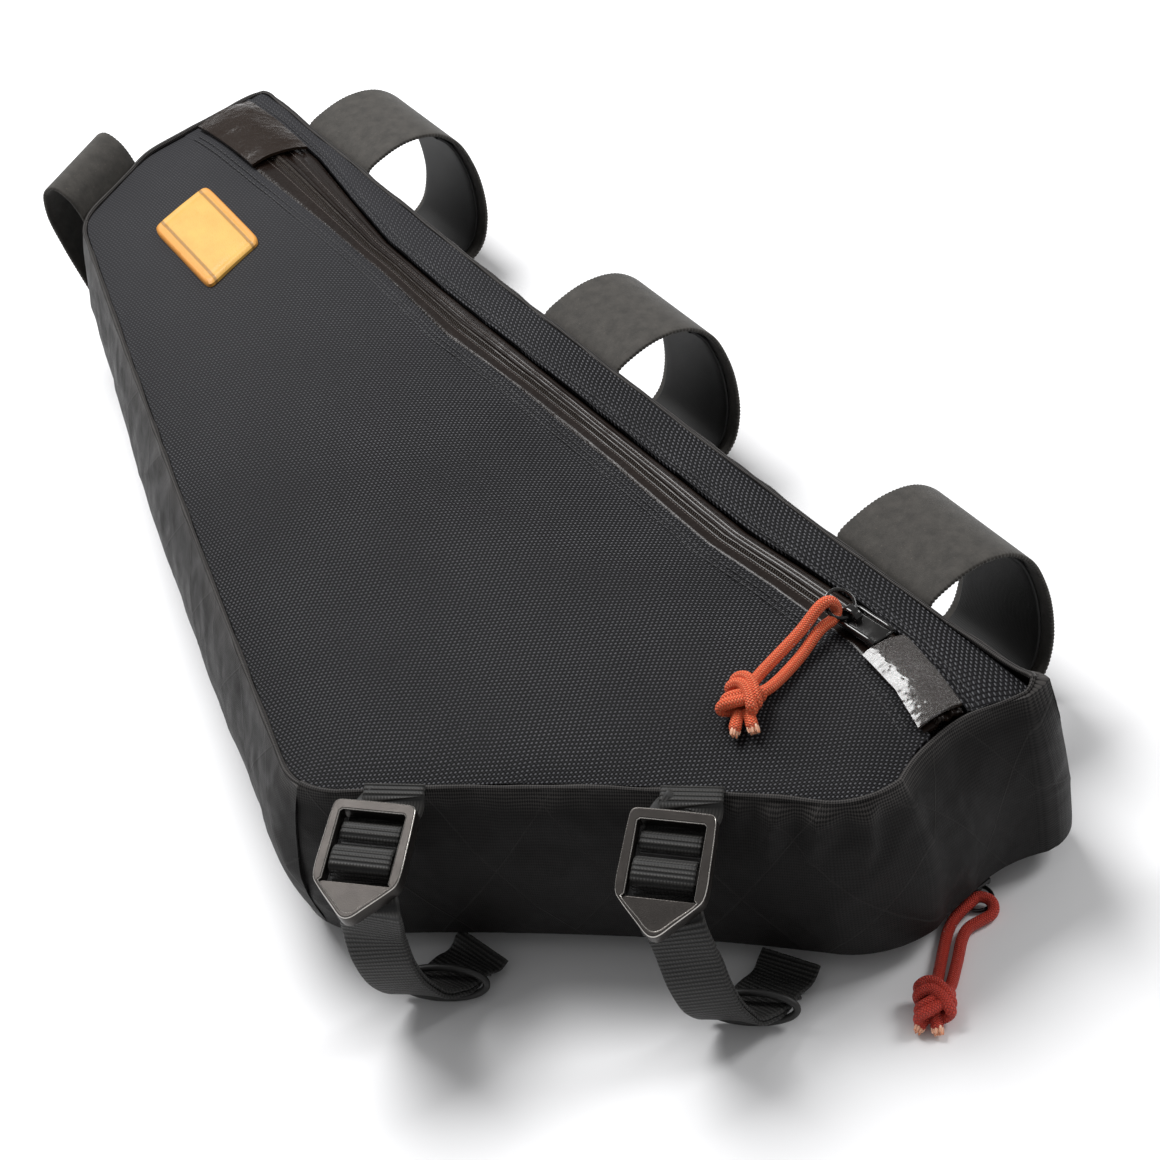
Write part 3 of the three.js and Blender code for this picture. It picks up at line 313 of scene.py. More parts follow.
# Meshes
class Shell:
    """Gathers the vertices and faces of one piece, in millimetres"""

    def __init__(self):
        self.points = []
        self.faces = []
        self.uvs = []
        self.looks = []
        self.count = 0

    def add(self, points, faces, uvs, look=0):
        """faces index this patch's own points, and uvs has a pair for each face corner"""
        self.points.append(np.asarray(points, float))
        self.faces.extend([tuple(int(v) + self.count for v in face) for face in faces])
        self.uvs.extend([tuple(corner) for face in uvs for corner in face])
        self.looks.extend([look] * len(faces))
        self.count += len(points)

    def add_grid(self, grid, uv, flip=False):
        """Open grid of points with a uv grid of the same shape"""
        rows, columns = grid.shape[:2]
        index = np.arange(rows * columns).reshape(rows, columns)
        corners = (index[:-1, :-1], index[:-1, 1:], index[1:, 1:], index[1:, :-1])
        faces = np.stack([c.ravel() for c in corners], axis=1)
        if flip:
            faces = faces[:, ::-1]
        flat = uv.reshape(-1, 2)
        self.add(grid.reshape(-1, 3), faces, flat[faces])

    def add_loft(self, rings, along, around, closed=False, look=0):
        """Closed rings joined in order, with uv from the distance along and around; ends are capped"""
        count, size = rings.shape[:2]
        faces = []
        uvs = []
        stops = count if closed else count - 1
        for i in range(stops):
            j = (i + 1) % count
            for k in range(size):
                m = (k + 1) % size
                faces.append((i * size + k, i * size + m, j * size + m, j * size + k))
                u0 = along[i]
                u1 = along[i + 1]
                v0 = around[k]
                v1 = around[k + 1]
                uvs.append(((u0, v0), (u0, v1), (u1, v1), (u1, v0)))
        if not closed:
            for row, way in ((0, -1), (count - 1, 1)):
                faces.append(tuple(row * size + k for k in range(size))[::way])
                uvs.append(tuple((along[row], around[k]) for k in range(size))[::way])
        self.add(rings.reshape(-1, 3), faces, uvs, look)

    def build(self, name, materials, nodes=(), sharp=50):
        """Makes the object, in metres, riding on the bag and standing for the named nodes"""
        mesh = bpy.data.meshes.new(name)
        mesh.from_pydata((np.concatenate(self.points) * MM).tolist(), [], self.faces)
        layer = mesh.uv_layers.new(name="cloth")
        layer.data.foreach_set("uv", np.array(self.uvs, np.float32).ravel())
        mesh.polygons.foreach_set("material_index", np.array(self.looks, np.int32))
        for material in materials:
            mesh.materials.append(material)
        work = bmesh.new()
        work.from_mesh(mesh)
        bmesh.ops.recalc_face_normals(work, faces=work.faces)
        work.to_mesh(mesh)
        work.free()
        mesh.shade_smooth()
        mesh.set_sharp_from_angle(angle=math.radians(sharp))
        piece = linked(name, mesh)
        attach(piece, "root")
        if nodes:
            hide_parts(*nodes)
        return piece


def thick_sheet(shell, over, under, uv):
    """Closed sheet between two grids: the faces and the four borders"""
    shell.add_grid(over, uv)
    shell.add_grid(under, uv, flip=True)
    for edge in (np.s_[:, 0], np.s_[:, -1], np.s_[0, :], np.s_[-1, :]):
        strip = np.stack((over[edge], under[edge]), axis=1)
        shell.add_grid(strip, np.stack((uv[edge], uv[edge]), axis=1))


def add_cloth(shell, x, y, top, bottom, uv):
    """Sheet over a grid of plan positions, between two heights"""
    thick_sheet(shell, np.stack((x, y, top), axis=-1), np.stack((x, y, bottom), axis=-1), uv)


def fill_plan(left, right, near, far, columns):
    """Grid of plan positions filled in from its four borders"""
    rows = len(left)
    s = np.linspace(0, 1, columns)[None, :, None]
    t = np.linspace(0, 1, rows)[:, None, None]
    near = resample(near, columns)[None]
    far = resample(far, columns)[None]
    sides = lerp(left[:, None], right[:, None], s)
    ends = lerp(near, far, t)
    corners = lerp(lerp(near[:, :1], near[:, -1:], s), lerp(far[:, :1], far[:, -1:], s), t)
    return sides + ends - corners


def resample(points, count):
    """Points evenly spaced by index along a line of points"""
    points = np.asarray(points, float)
    return interpolate(np.linspace(0, len(points) - 1, count), np.arange(len(points)), points)


def catmull_rom(points, steps):
    """Smooth line through points, centripetal, evenly spaced in length"""
    points = np.asarray(points, float)
    first = 2 * points[0] - points[1]
    last = 2 * points[-1] - points[-2]
    p = np.concatenate((first[None], points, last[None]))
    fine = []
    for i in range(1, len(p) - 2):
        knots = [0]
        for k in range(3):
            knots.append(knots[-1] + max(np.linalg.norm(p[i + k] - p[i - 1 + k]), 1e-6) ** 0.5)
        t = np.linspace(knots[1], knots[2], 24, endpoint=i == len(p) - 3)[:, None]
        a1 = lerp(p[i - 1], p[i], (t - knots[0]) / (knots[1] - knots[0]))
        a2 = lerp(p[i], p[i + 1], (t - knots[1]) / (knots[2] - knots[1]))
        a3 = lerp(p[i + 1], p[i + 2], (t - knots[2]) / (knots[3] - knots[2]))
        b1 = lerp(a1, a2, (t - knots[0]) / (knots[2] - knots[0]))
        b2 = lerp(a2, a3, (t - knots[1]) / (knots[3] - knots[1]))
        fine.append(lerp(b1, b2, (t - knots[1]) / (knots[2] - knots[1])))
    fine = np.concatenate(fine)
    return even(fine, steps)


def lengths(points):
    """Distance along a line of points"""
    steps = np.linalg.norm(np.diff(points, axis=0), axis=1)
    return np.concatenate(((0,), np.cumsum(steps)))


def even(points, steps):
    """The same line with points evenly spaced in length"""
    run = lengths(points)
    return interpolate(np.linspace(0, run[-1], steps + 1), run, points)


def tangents(points, closed=False):
    if closed:
        return unit(np.roll(points, -1, axis=0) - np.roll(points, 1, axis=0))
    return unit(np.gradient(points, axis=0))


def tube_rings(points, radius, sides, closed=False):
    """Round rings along a line, turning with it without twist"""
    along = tangents(points, closed)
    start = np.cross(along[0], (0, 0, 1))
    if np.linalg.norm(start) < 0.1:
        start = np.cross(along[0], (1, 0, 0))
    side = unit(start)
    angle = turn_angles(sides)
    carried = []
    for t in along:
        side = unit(side - t * np.dot(side, t))
        carried.append(side)
    side = np.array(carried)
    up = np.cross(along, side)
    if closed:
        turn = math.atan2(np.dot(side[0], up[-1]), np.dot(side[0], side[-1]))
        twist = (turn * np.arange(len(points)) / len(points))[:, None]
        side, up = side * np.cos(twist) + up * np.sin(twist), up * np.cos(twist) - side * np.sin(twist)
    radius = np.broadcast_to(np.asarray(radius, float), (len(points),))
    offset = side[:, None] * np.cos(angle)[None, :, None] + up[:, None] * np.sin(angle)[None, :, None]
    return points[:, None] + offset * radius[:, None, None]


def add_tube(shell, points, radius, sides=16, closed=False, look=0):
    rings = tube_rings(points, radius, sides, closed)
    run = lengths(points)
    if closed:
        run = np.append(run, run[-1] + np.linalg.norm(points[0] - points[-1]))
    around = np.linspace(0, 2 * math.pi * float(np.max(radius)), sides + 1)
    shell.add_loft(rings, run, around, closed, look)


def flat_section(width, thickness, columns):
    """Cross-section of a strap: flat faces with rounded edges, as (across, through) pairs"""
    half = width / 2 - thickness / 2
    across = np.linspace(-half, half, columns)
    top = [(s, thickness / 2) for s in across]
    low = [(s, -thickness / 2) for s in across[::-1]]
    angles = np.linspace(90, -90, 6)[1:-1]
    right = [
        (half + thickness / 2 * math.cos(math.radians(a)), thickness / 2 * math.sin(math.radians(a)))
        for a in angles
    ]
    left = [(-s, -t) for s, t in right]
    return np.array(top + right + low + left)


def add_band(shell, centre, across, width, thickness, columns, ripple=None):
    """Strap along a line of points, with one direction of its width or one at each point"""
    along = tangents(centre)
    across = unit(across - along * np.sum(across * along, axis=1)[:, None])
    normal = np.cross(along, across)
    section = flat_section(width, thickness, columns)
    wide = np.repeat(section[None, :, 0], len(centre), axis=0)
    through = np.repeat(section[None, :, 1], len(centre), axis=0)
    if ripple is not None:
        wide, through = ripple(lengths(centre)[:, None], wide, through)
    rings = centre[:, None] + across[:, None] * wide[:, :, None] + normal[:, None] * through[:, :, None]
    loop = np.concatenate((section, section[:1]))
    around = lengths(loop) - width / 2
    shell.add_loft(rings, lengths(centre), around)


# How far the ends of a stitch dip into the cloth, as a share of the thread
STITCH_DIP = 0.35


def add_stitches(shell, line, pitch, length, thickness):
    """Row of stitches along a line of points, each a short thread dipping in at both ends"""
    run = lengths(line)
    count = int(run[-1] / pitch)
    starts = (np.arange(count) + 0.5) * pitch - length / 2
    shares = np.linspace(0, 1, 7)
    for start in starts:
        points = interpolate(start + shares * length, run, line)
        bow = np.sin(shares * math.pi) ** 0.6
        points[:, 2] += thickness * (bow - STITCH_DIP)
        add_tube(shell, points, thickness * (0.55 + 0.45 * bow), 6, look=1)


# Materials
class Shade:
    """Builds the nodes of one material"""

    def __init__(self, name):
        self.material = bpy.data.materials.new(name)
        self.material.use_nodes = True
        self.tree = self.material.node_tree
        self.shader = self.tree.nodes["Principled BSDF"]

    def feed(self, socket, value):
        if isinstance(value, bpy.types.NodeSocket):
            self.tree.links.new(value, socket)
        elif isinstance(value, (tuple, list)) and len(value) == 3 and len(socket.default_value) == 4:
            socket.default_value = (*value, 1)
        else:
            socket.default_value = value

    def set(self, **values):
        for name, value in values.items():
            self.feed(self.shader.inputs[name.replace("_", " ")], value)

    def node(self, kind, inputs):
        """New node with the given inputs fed"""
        made = self.tree.nodes.new("ShaderNode" + kind)
        for name, value in inputs.items():
            self.feed(made.inputs[name], value)
        return made

    def math(self, operation, a, b=0.0):
        node = self.node("Math", {0: a, 1: b})
        node.operation = operation
        return node.outputs[0]

    def times(self, a, b):
        return self.math("MULTIPLY", a, b)

    def apart(self, a, b):
        """Distance between two values, without its sign"""
        return self.math("ABSOLUTE", self.math("SUBTRACT", a, b))

    def wave(self, value, period):
        return self.math("SINE", self.times(value, 2 * math.pi / period))

    def coordinates(self, kind="UV"):
        return self.tree.nodes.new("ShaderNodeTexCoord").outputs[kind]

    def split(self, vector):
        return tuple(self.node("SeparateXYZ", {0: vector}).outputs)

    def noise(self, vector, scale, detail=3.0, roughness=0.5, distortion=0.0):
        grain = {"Detail": detail, "Roughness": roughness, "Distortion": distortion}
        return self.node("TexNoise", {"Vector": vector, "Scale": scale, **grain}).outputs["Fac"]

    def cells(self, vector, scale):
        node = self.node("TexVoronoi", {"Vector": vector, "Scale": scale})
        node.feature = "DISTANCE_TO_EDGE"
        return node.outputs["Distance"]

    def range(self, value, low, high, to_low=0.0, to_high=1.0):
        limits = {"From Min": low, "From Max": high, "To Min": to_low, "To Max": to_high}
        return self.node("MapRange", {"Value": value, **limits}).outputs[0]

    def mix(self, share, a, b):
        node = self.tree.nodes.new("ShaderNodeMix")
        node.data_type = "RGBA"
        self.feed(node.inputs["Factor"], share)
        colours = [socket for socket in node.inputs if socket.type == "RGBA"]
        self.feed(colours[0], a)
        self.feed(colours[1], b)
        return next(socket for socket in node.outputs if socket.type == "RGBA")

    def stretch(self, vector, x, y, turn=0.0):
        inputs = {"Vector": vector, "Scale": (x, y, 1), "Rotation": (0, 0, turn)}
        return self.node("Mapping", inputs).outputs[0]

    def bump(self, height, depth, normal=None):
        """Bump of a height from 0 to 1, with its depth in millimetres"""
        inputs = {"Height": height, "Distance": depth * MM}
        if normal is not None:
            inputs["Normal"] = normal
        return self.node("Bump", inputs).outputs[0]

    def weave(self, u, v, pitch_u, pitch_v):
        """Plain weave: height of the threads and which of the two is on top"""
        product = self.times(self.wave(u, 2 * pitch_u), self.wave(v, 2 * pitch_v))
        height = self.math("POWER", self.math("ABSOLUTE", product), 0.6)
        top = self.range(product, -0.25, 0.25)
        return height, top


# Distance along Y from which the heavy weave grows plainer, and where it is plainest
WEAVE_FADE = (0, 190)


def heavy_weave(name, turn=0.0, pitch=(1.15, 0.9)):
    """Heavy weave nylon, charcoal: short floats with painted highlight between gaps with painted shade,
    plainer at the head end
    """
    shade = Shade(name)
    place = shade.stretch(shade.coordinates(), 1, 1, turn)
    wander = shade.noise(place, 0.05, 2)
    u, v, _ = shade.split(place)
    u = shade.math("ADD", u, shade.times(wander, 2.2))
    height, top = shade.weave(u, v, *pitch)
    uneven = shade.noise(place, 0.9, 2)
    patches = shade.noise(place, 0.02, 3)
    # Painted highlight on the crowns of the floats and painted shade in the gaps between them, from the
    # weave's relief
    float_light_and_shade = shade.range(shade.times(top, height), 0.35, 0.9)
    thread = shade.mix(float_light_and_shade, (0.002, 0.002, 0.0025), (0.125, 0.125, 0.135))
    thread = shade.mix(shade.range(uneven, 0.35, 0.75, 0.0, 0.5), thread, (0.01, 0.01, 0.012))
    colour = shade.mix(shade.range(patches, 0.35, 0.7, 0.0, 0.35), thread, (0.006, 0.006, 0.007))
    _, along, _ = shade.split(shade.coordinates())
    colour = shade.mix(shade.range(along, *WEAVE_FADE, 0.0, 0.75), colour, (0.026, 0.026, 0.029))
    raised = shade.times(height, shade.range(top, 0, 1, 0.3, 1.0))
    raised = shade.times(raised, shade.range(along, *WEAVE_FADE, 1.0, 0.45))
    shade.set(Base_Color=colour, Roughness=shade.range(height, 0, 1, 0.8, 0.5))
    shade.set(Specular_IOR_Level=0.14, Normal=shade.bump(raised, 0.5))
    return shade.material


def laminate(name):
    """Thin laminated cloth, near black: woven grain, straight diagonal plies, and a painted highlight along
    the rolled edge
    """
    shade = Shade(name)
    place = shade.coordinates()
    u, v, _ = shade.split(place)
    left = shade.math("ADD", shade.times(u, 0.8), shade.times(v, 0.6))
    right = shade.math("SUBTRACT", shade.times(u, 0.8), shade.times(v, 0.6))
    height, top = shade.weave(left, right, 0.62, 0.62)
    soft = shade.noise(place, 0.03, 2, 0.5, 0.4)
    fine = shade.noise(place, 0.12, 3, 0.5, 0.4)
    plies = [
        shade.range(shade.math("PINGPONG", way, size), 0.0, 0.45, 1.0, 0.0)
        for way, size in ((left, 17), (right, 14.5))
    ]
    ply = shade.math("MAXIMUM", *plies)
    # Painted highlight: the rolled lip at the seam is drawn paler, its woven grain lit
    reach = shade.math("ADD", v, shade.times(shade.noise(place, 0.045, 2), -14))
    edge = shade.range(reach, -5.0, 4.0, 1.0, 0.0)
    colour = shade.mix(shade.times(top, 0.55), (0.007, 0.0065, 0.0065), (0.022, 0.0205, 0.02))
    woven = shade.mix(top, (0.006, 0.0055, 0.0055), (0.095, 0.088, 0.084))
    colour = shade.mix(shade.times(edge, 0.6), colour, woven)
    colour = shade.mix(shade.times(ply, 0.22), colour, (0.045, 0.041, 0.039))
    normal = shade.bump(height, 0.06)
    normal = shade.bump(ply, 0.12, normal)
    normal = shade.bump(fine, 0.35, normal)
    normal = shade.bump(soft, 4.0, normal)
    shade.set(Base_Color=colour, Roughness=shade.range(fine, 0.3, 0.7, 0.45, 0.6), Normal=normal)
    shade.set(Specular_IOR_Level=0.14)
    return shade.material


def coated_tape(name):
    """Glossy dark brown coating, smooth over the flat strips and pebbled beside them"""
    shade = Shade(name)
    place = shade.coordinates("Object")
    u, v, _ = shade.split(shade.coordinates())
    wave = shade.noise(place, 60, 2)
    grain = shade.noise(place, 900, 3)
    ragged = shade.range(shade.apart(u, 1.0), 0.8, 0.93)
    stitch = shade.wave(v, 1.1)
    rows = [shade.range(shade.apart(u, at), 0.03, 0.06, 1.0, 0.0) for at in (0.78, 0.92)]
    row = shade.math("MAXIMUM", *rows)
    dots = shade.times(row, shade.range(stitch, -0.2, 0.5))
    colour = shade.mix(wave, (0.0055, 0.003, 0.0022), (0.012, 0.007, 0.005))
    colour = shade.mix(shade.times(dots, 0.6), colour, (0.07, 0.06, 0.05))
    normal = shade.bump(grain, 0.03)
    normal = shade.bump(shade.times(grain, ragged), 0.5, normal)
    normal = shade.bump(dots, 0.16, normal)
    normal = shade.bump(wave, 0.4, normal)
    shade.set(Base_Color=colour, Roughness=shade.range(grain, 0.3, 0.7, 0.2, 0.34), Normal=normal)
    shade.set(Coat_Weight=0.12, Coat_Roughness=0.1, Specular_IOR_Level=0.2)
    return shade.material


def crinkled_coat(name, shine=1.0):
    """Finely crinkled glossy coating that sparkles where it mirrors the light"""
    shade = Shade(name)
    place = shade.coordinates()
    crinkle = shade.noise(place, 1.15, 3, 0.6, 0.8)
    pits = shade.noise(place, 2.6, 2, 0.6)
    colour = shade.mix(crinkle, (0.006, 0.004, 0.003), (0.024, 0.014, 0.009))
    normal = shade.bump(pits, 0.1 * shine)
    normal = shade.bump(crinkle, 0.8 * shine, normal)
    shade.set(Base_Color=colour, Roughness=0.22, Normal=normal, Specular_IOR_Level=0.7 * shine)
    shade.set(Coat_Weight=shine, Coat_Roughness=0.14, Coat_IOR=1.5)
    return shade.material


def strap_face(name):
    """Rubbery mottled strap, brownish grey, with a fine nap"""
    shade = Shade(name)
    place = shade.coordinates()
    mottle = shade.noise(place, 0.16, 5, 0.7)
    nap = shade.noise(place, 2.2, 3, 0.7)
    specks = shade.range(shade.noise(place, 1.1, 2, 0.5), 0.66, 0.74)
    colour = shade.mix(shade.range(mottle, 0.3, 0.7), (0.026, 0.024, 0.021), (0.056, 0.051, 0.045))
    colour = shade.mix(shade.times(specks, 0.35), colour, (0.15, 0.125, 0.1))
    shade.set(Base_Color=colour, Roughness=shade.range(nap, 0.3, 0.7, 0.7, 0.9))
    shade.set(Sheen_Weight=0.12, Sheen_Roughness=0.5, Normal=shade.bump(nap, 0.12))
    shade.set(Specular_IOR_Level=0.3)
    return shade.material


def strap_lining(name):
    """Smooth near-black inner face"""
    shade = Shade(name)
    place = shade.coordinates()
    weave_height, _ = shade.weave(*shade.split(place)[:2], 0.7, 0.7)
    cloud = shade.noise(place, 0.1, 3)
    colour = shade.mix(cloud, (0.005, 0.005, 0.005), (0.011, 0.011, 0.0105))
    shade.set(Base_Color=colour, Roughness=0.62, Normal=shade.bump(weave_height, 0.06))
    shade.set(Specular_IOR_Level=0.35)
    return shade.material


def ribbed_webbing(name):
    """Nylon webbing: rows of raised loops across its width, with painted highlight on the loops and painted
    shade between them
    """
    shade = Shade(name)
    place = shade.coordinates()
    u, v, _ = shade.split(place)
    row = shade.wave(u, 1.5)
    loop = shade.wave(v, 1.05)
    height = shade.times(shade.range(row, -0.8, 1.0), shade.range(loop, -1.0, 0.4, 0.45, 1.0))
    uneven = shade.noise(place, 0.8, 2)
    # Painted highlight on the raised loops and painted shade between the rows, from their height
    colour = shade.mix(height, (0.003, 0.003, 0.003), (0.034, 0.032, 0.029))
    colour = shade.mix(shade.times(uneven, 0.4), colour, (0.009, 0.009, 0.0085))
    shade.set(Base_Color=colour, Roughness=0.58, Normal=shade.bump(height, 0.3))
    shade.set(Sheen_Weight=0.04, Specular_IOR_Level=0.4)
    return shade.material


def gunmetal(name, colour=(0.06, 0.054, 0.05), roughness=0.36, grain=0.5):
    """Satin cast metal with a fine grain"""
    shade = Shade(name)
    place = shade.coordinates("Object")
    specks = shade.noise(place, 2600, 3, 0.6)
    cloud = shade.noise(place, 160, 3)
    shown = shade.mix(shade.range(cloud, 0.3, 0.7, 0.0, 0.5), colour, tuple(c * 0.55 for c in colour))
    shade.set(Base_Color=shown, Metallic=0.85, Normal=shade.bump(specks, 0.09 * grain))
    shade.set(Roughness=shade.range(specks, 0.3, 0.7, roughness - 0.08, roughness + 0.1))
    return shade.material


def gloss_black(name):
    """Glossy black lacquer on metal"""
    shade = Shade(name)
    place = shade.coordinates("Object")
    cloud = shade.noise(place, 260, 3)
    shade.set(Base_Color=shade.mix(cloud, (0.006, 0.006, 0.006), (0.014, 0.013, 0.012)))
    shade.set(Roughness=shade.range(cloud, 0.3, 0.7, 0.12, 0.26), Metallic=0.3)
    shade.set(Coat_Weight=0.5, Coat_Roughness=0.08, Normal=shade.bump(cloud, 0.06))
    return shade.material


def black_rubber(name):
    """Satin rubber with faint wear"""
    shade = Shade(name)
    place = shade.coordinates("Object")
    cloud = shade.noise(place, 420, 4)
    shade.set(Base_Color=shade.mix(cloud, (0.010, 0.010, 0.010), (0.026, 0.025, 0.024)))
    shade.set(Roughness=shade.range(cloud, 0.3, 0.7, 0.38, 0.58), Normal=shade.bump(cloud, 0.08))
    return shade.material


# The second, lighter colour is a painted highlight
def braided_cord(name, base=(0.98, 0.11, 0.025), light=(1.0, 0.34, 0.16)):
    """Braided cord: small diagonal strands with a few pale flecks, painted shade between the strands and a
    painted highlight on those on top
    """
    shade = Shade(name)
    place = shade.coordinates()
    u, v, _ = shade.split(place)
    left = shade.math("ADD", u, shade.times(v, 0.55))
    right = shade.math("SUBTRACT", u, shade.times(v, 0.55))
    height, top = shade.weave(left, right, 0.8, 0.8)
    flecks = shade.range(shade.noise(place, 0.55, 2, 0.5), 0.71, 0.76)
    uneven = shade.noise(place, 0.35, 2)
    # Painted shade: the cord is drawn darker between its strands
    colour = shade.mix(height, tuple(c * 0.5 for c in base), base)
    # Painted highlight: the strands on top take the lighter colour
    colour = shade.mix(shade.times(top, 0.45), colour, light)
    colour = shade.mix(shade.times(uneven, 0.25), colour, base)
    colour = shade.mix(shade.times(flecks, 0.7), colour, (0.62, 0.5, 0.52))
    shade.set(Base_Color=colour, Roughness=0.55, Normal=shade.bump(height, 0.45))
    shade.set(Sheen_Weight=0.04, Sheen_Roughness=0.4)
    return shade.material


def frayed_fibre(name):
    """Pale melted fibres at a cut end"""
    shade = Shade(name)
    place = shade.coordinates()
    streak = shade.noise(shade.stretch(place, 0.5, 3), 1.0, 2)
    colour = shade.mix(shade.range(streak, 0.4, 0.6), (0.85, 0.3, 0.14), (0.9, 0.66, 0.5))
    shade.set(Base_Color=colour, Roughness=0.5, Normal=shade.bump(streak, 0.1))
    return shade.material


def tan_leather(name):
    """Golden tan leather, redder toward its edges, with two pressed lines"""
    shade = Shade(name)
    place = shade.coordinates()
    u, _, _ = shade.split(place)
    grain = shade.cells(place, 34)
    cloud = shade.noise(place, 3.5, 4, 0.6)
    from_middle = shade.apart(u, 0.5)
    line = shade.range(shade.apart(from_middle, 0.36), 0.012, 0.03, 1.0, 0.0)
    border = shade.range(from_middle, 0.3, 0.5)
    colour = shade.mix(cloud, (0.52, 0.27, 0.045), (0.72, 0.42, 0.09))
    colour = shade.mix(shade.times(border, 0.75), colour, (0.60, 0.21, 0.03))
    colour = shade.mix(shade.times(line, 0.6), colour, (0.10, 0.05, 0.02))
    shade.set(Base_Color=colour, Roughness=shade.range(cloud, 0.3, 0.7, 0.42, 0.6))
    shade.set(Normal=shade.bump(shade.math("SUBTRACT", grain, line), 0.14))
    return shade.material


def thread(name, colour=(0.012, 0.012, 0.013)):
    """Sewing thread"""
    shade = Shade(name)
    place = shade.coordinates()
    twist = shade.noise(place, 3, 2)
    shade.set(Base_Color=shade.mix(twist, colour, tuple(c * 2.2 for c in colour)))
    shade.set(Roughness=0.6, Normal=shade.bump(twist, 0.08))
    return shade.material


# Camera, light and floor
def add_camera():
    yaw = math.radians(CAMERA["yaw"])
    pitch = math.radians(CAMERA["pitch"])
    roll = math.radians(CAMERA["roll"])
    ahead = Vector((math.sin(yaw) * math.cos(pitch), math.cos(yaw) * math.cos(pitch), -math.sin(pitch)))
    right = Vector((math.cos(yaw), -math.sin(yaw), 0))
    up = right.cross(ahead)
    turned_right = math.cos(roll) * right + math.sin(roll) * up
    turned_up = -math.sin(roll) * right + math.cos(roll) * up
    camera = linked("camera", bpy.data.cameras.new("camera"))
    turn = Matrix((turned_right, turned_up, -ahead)).transposed().to_4x4()
    camera.matrix_world = Matrix.Translation(Vector(CAMERA["at"]) * MM) @ turn
    camera.data.lens = CAMERA["lens"]
    camera.data.sensor_width = 36
    bpy.context.scene.camera = camera


def add_light(name, at, target, size, power):
    light = bpy.data.lights.new(name, "AREA")
    light.shape = "RECTANGLE"
    light.size = size[0]
    light.size_y = size[1]
    light.energy = power
    lamp = linked(name, light)
    lamp.location = at
    lamp.rotation_mode = "QUATERNION"
    lamp.rotation_quaternion = (Vector(target) - Vector(at)).to_track_quat("-Z", "Y")


def add_studio():
    world = bpy.data.worlds.new("studio")
    world.use_nodes = True
    background = world.node_tree.nodes["Background"]
    background.inputs["Color"].default_value = (1, 1, 1, 1)
    background.inputs["Strength"].default_value = 0.3
    bpy.context.scene.world = world
    add_light("overhead", (0.0, 0.88, 1.45), (0, 0.0, 0.0), (0.95, 0.8), 36)
    add_light("side", (1.2, -0.5, 1.1), (0.0, -0.1, 0.05), (0.5, 0.5), 9)
    bpy.context.scene.view_settings.view_transform = "Standard"

    half = 4.0
    mesh = bpy.data.meshes.new("floor")
    corners = [(-half, -half, 0), (half, -half, 0), (half, half, 0), (-half, half, 0)]
    mesh.from_pydata(corners, [], [(0, 1, 2, 3)])
    floor = linked("floor", mesh)
    shade = Shade("floor_paper")
    cloud = shade.noise(shade.coordinates("Object"), 40, 3)
    shade.set(Base_Color=shade.mix(cloud, (0.86, 0.86, 0.87), (0.89, 0.89, 0.9)), Roughness=0.7)
    shade.set(Normal=shade.bump(cloud, 0.05))
    mesh.materials.append(shade.material)


# Zip pulls: slider, ring, doubled cord, knot and cut ends
def on_panel(x, y, extra):
    return (x, y, float(upper_height(x, y)) + RIDE + extra)


def on_floor(x, y, extra):
    return (x, y, RIDE + extra)


UPPER_PULL = {
    "strands": (
        (on_panel(58.4, -168.2, 7.2), on_panel(56.6, -168, 9.4), on_panel(53.4, -168, 8.9),
         on_panel(44, -169.6, 4.6), on_panel(22, -175.4, 2.2)),
        (on_panel(52.2, -170.6, 2.8), on_panel(48, -172, 2.4), on_panel(38, -175.6, 0.2),
         on_panel(22, -180.7, 1.2)),
    ),
    "bend": ((58.9, -168.6, 80.6), (56.2, -169.8, 78.9)),
    "knot": on_panel(13.7, -179.9, 3),
    "ends": (
        (on_panel(6.5, -185.6, 1.6), on_panel(4.4, -187.3, 0.6), on_panel(2, -189.6, 0.2)),
        (on_panel(10.6, -188, 1.6), on_panel(9.6, -190.4, 0.6), on_panel(8.2, -193, 0.2)),
    ),
}
LOWER_PULL = {
    "strands": (
        (on_floor(52.2, -235.8, 2.2), on_floor(48.6, -236.2, 1.8), on_floor(44.6, -236.8, 0.9),
         on_floor(40.4, -238.8, 0), on_floor(30, -248, 0), on_floor(22.9, -255, 0.9)),
        (on_floor(55.4, -242.5, 0), on_floor(50.4, -242.3, 0), on_floor(44.7, -242.4, 0),
         on_floor(33.3, -251.7, 0), on_floor(25.3, -258.4, 0.7)),
    ),
    "bend": ((55.2, -235.2, 4.4), (58.0, -239.0, 3.2)),
    "knot": on_floor(17.2, -261.5, 3),
    "ends": (
        (on_floor(9.6, -263.9, 0.8), on_floor(8.1, -264.5, 0.3), on_floor(6.4, -265, 0)),
        (on_floor(12.9, -267.7, 0.8), on_floor(12.1, -268.9, 0.3), on_floor(11.1, -270.3, 0)),
    ),
}
# How far strands and cut ends reach into the knot, and how much of an end's first stretch shows
TUCK = 4
END_SHOWN = 0.8
# The pull's cord: steps of its first smooth line, steps of its mesh, and rounds of smoothing
CORD_FIRST_STEPS = 170
CORD_STEPS = 200
CORD_SMOOTHING = 16
# Loose fibres at a cut end
FIBRES = 34
# The knot's doubled wraps: half width and height, slant, bulge, place along the pull, lift
KNOT_WRAPS = ((5.1, 3.3, 0.55, -2.6, -0.6, 0.6), (4.5, 2.7, -0.75, 1.2, 1.4, -0.3))
KNOT_APART = 3.3


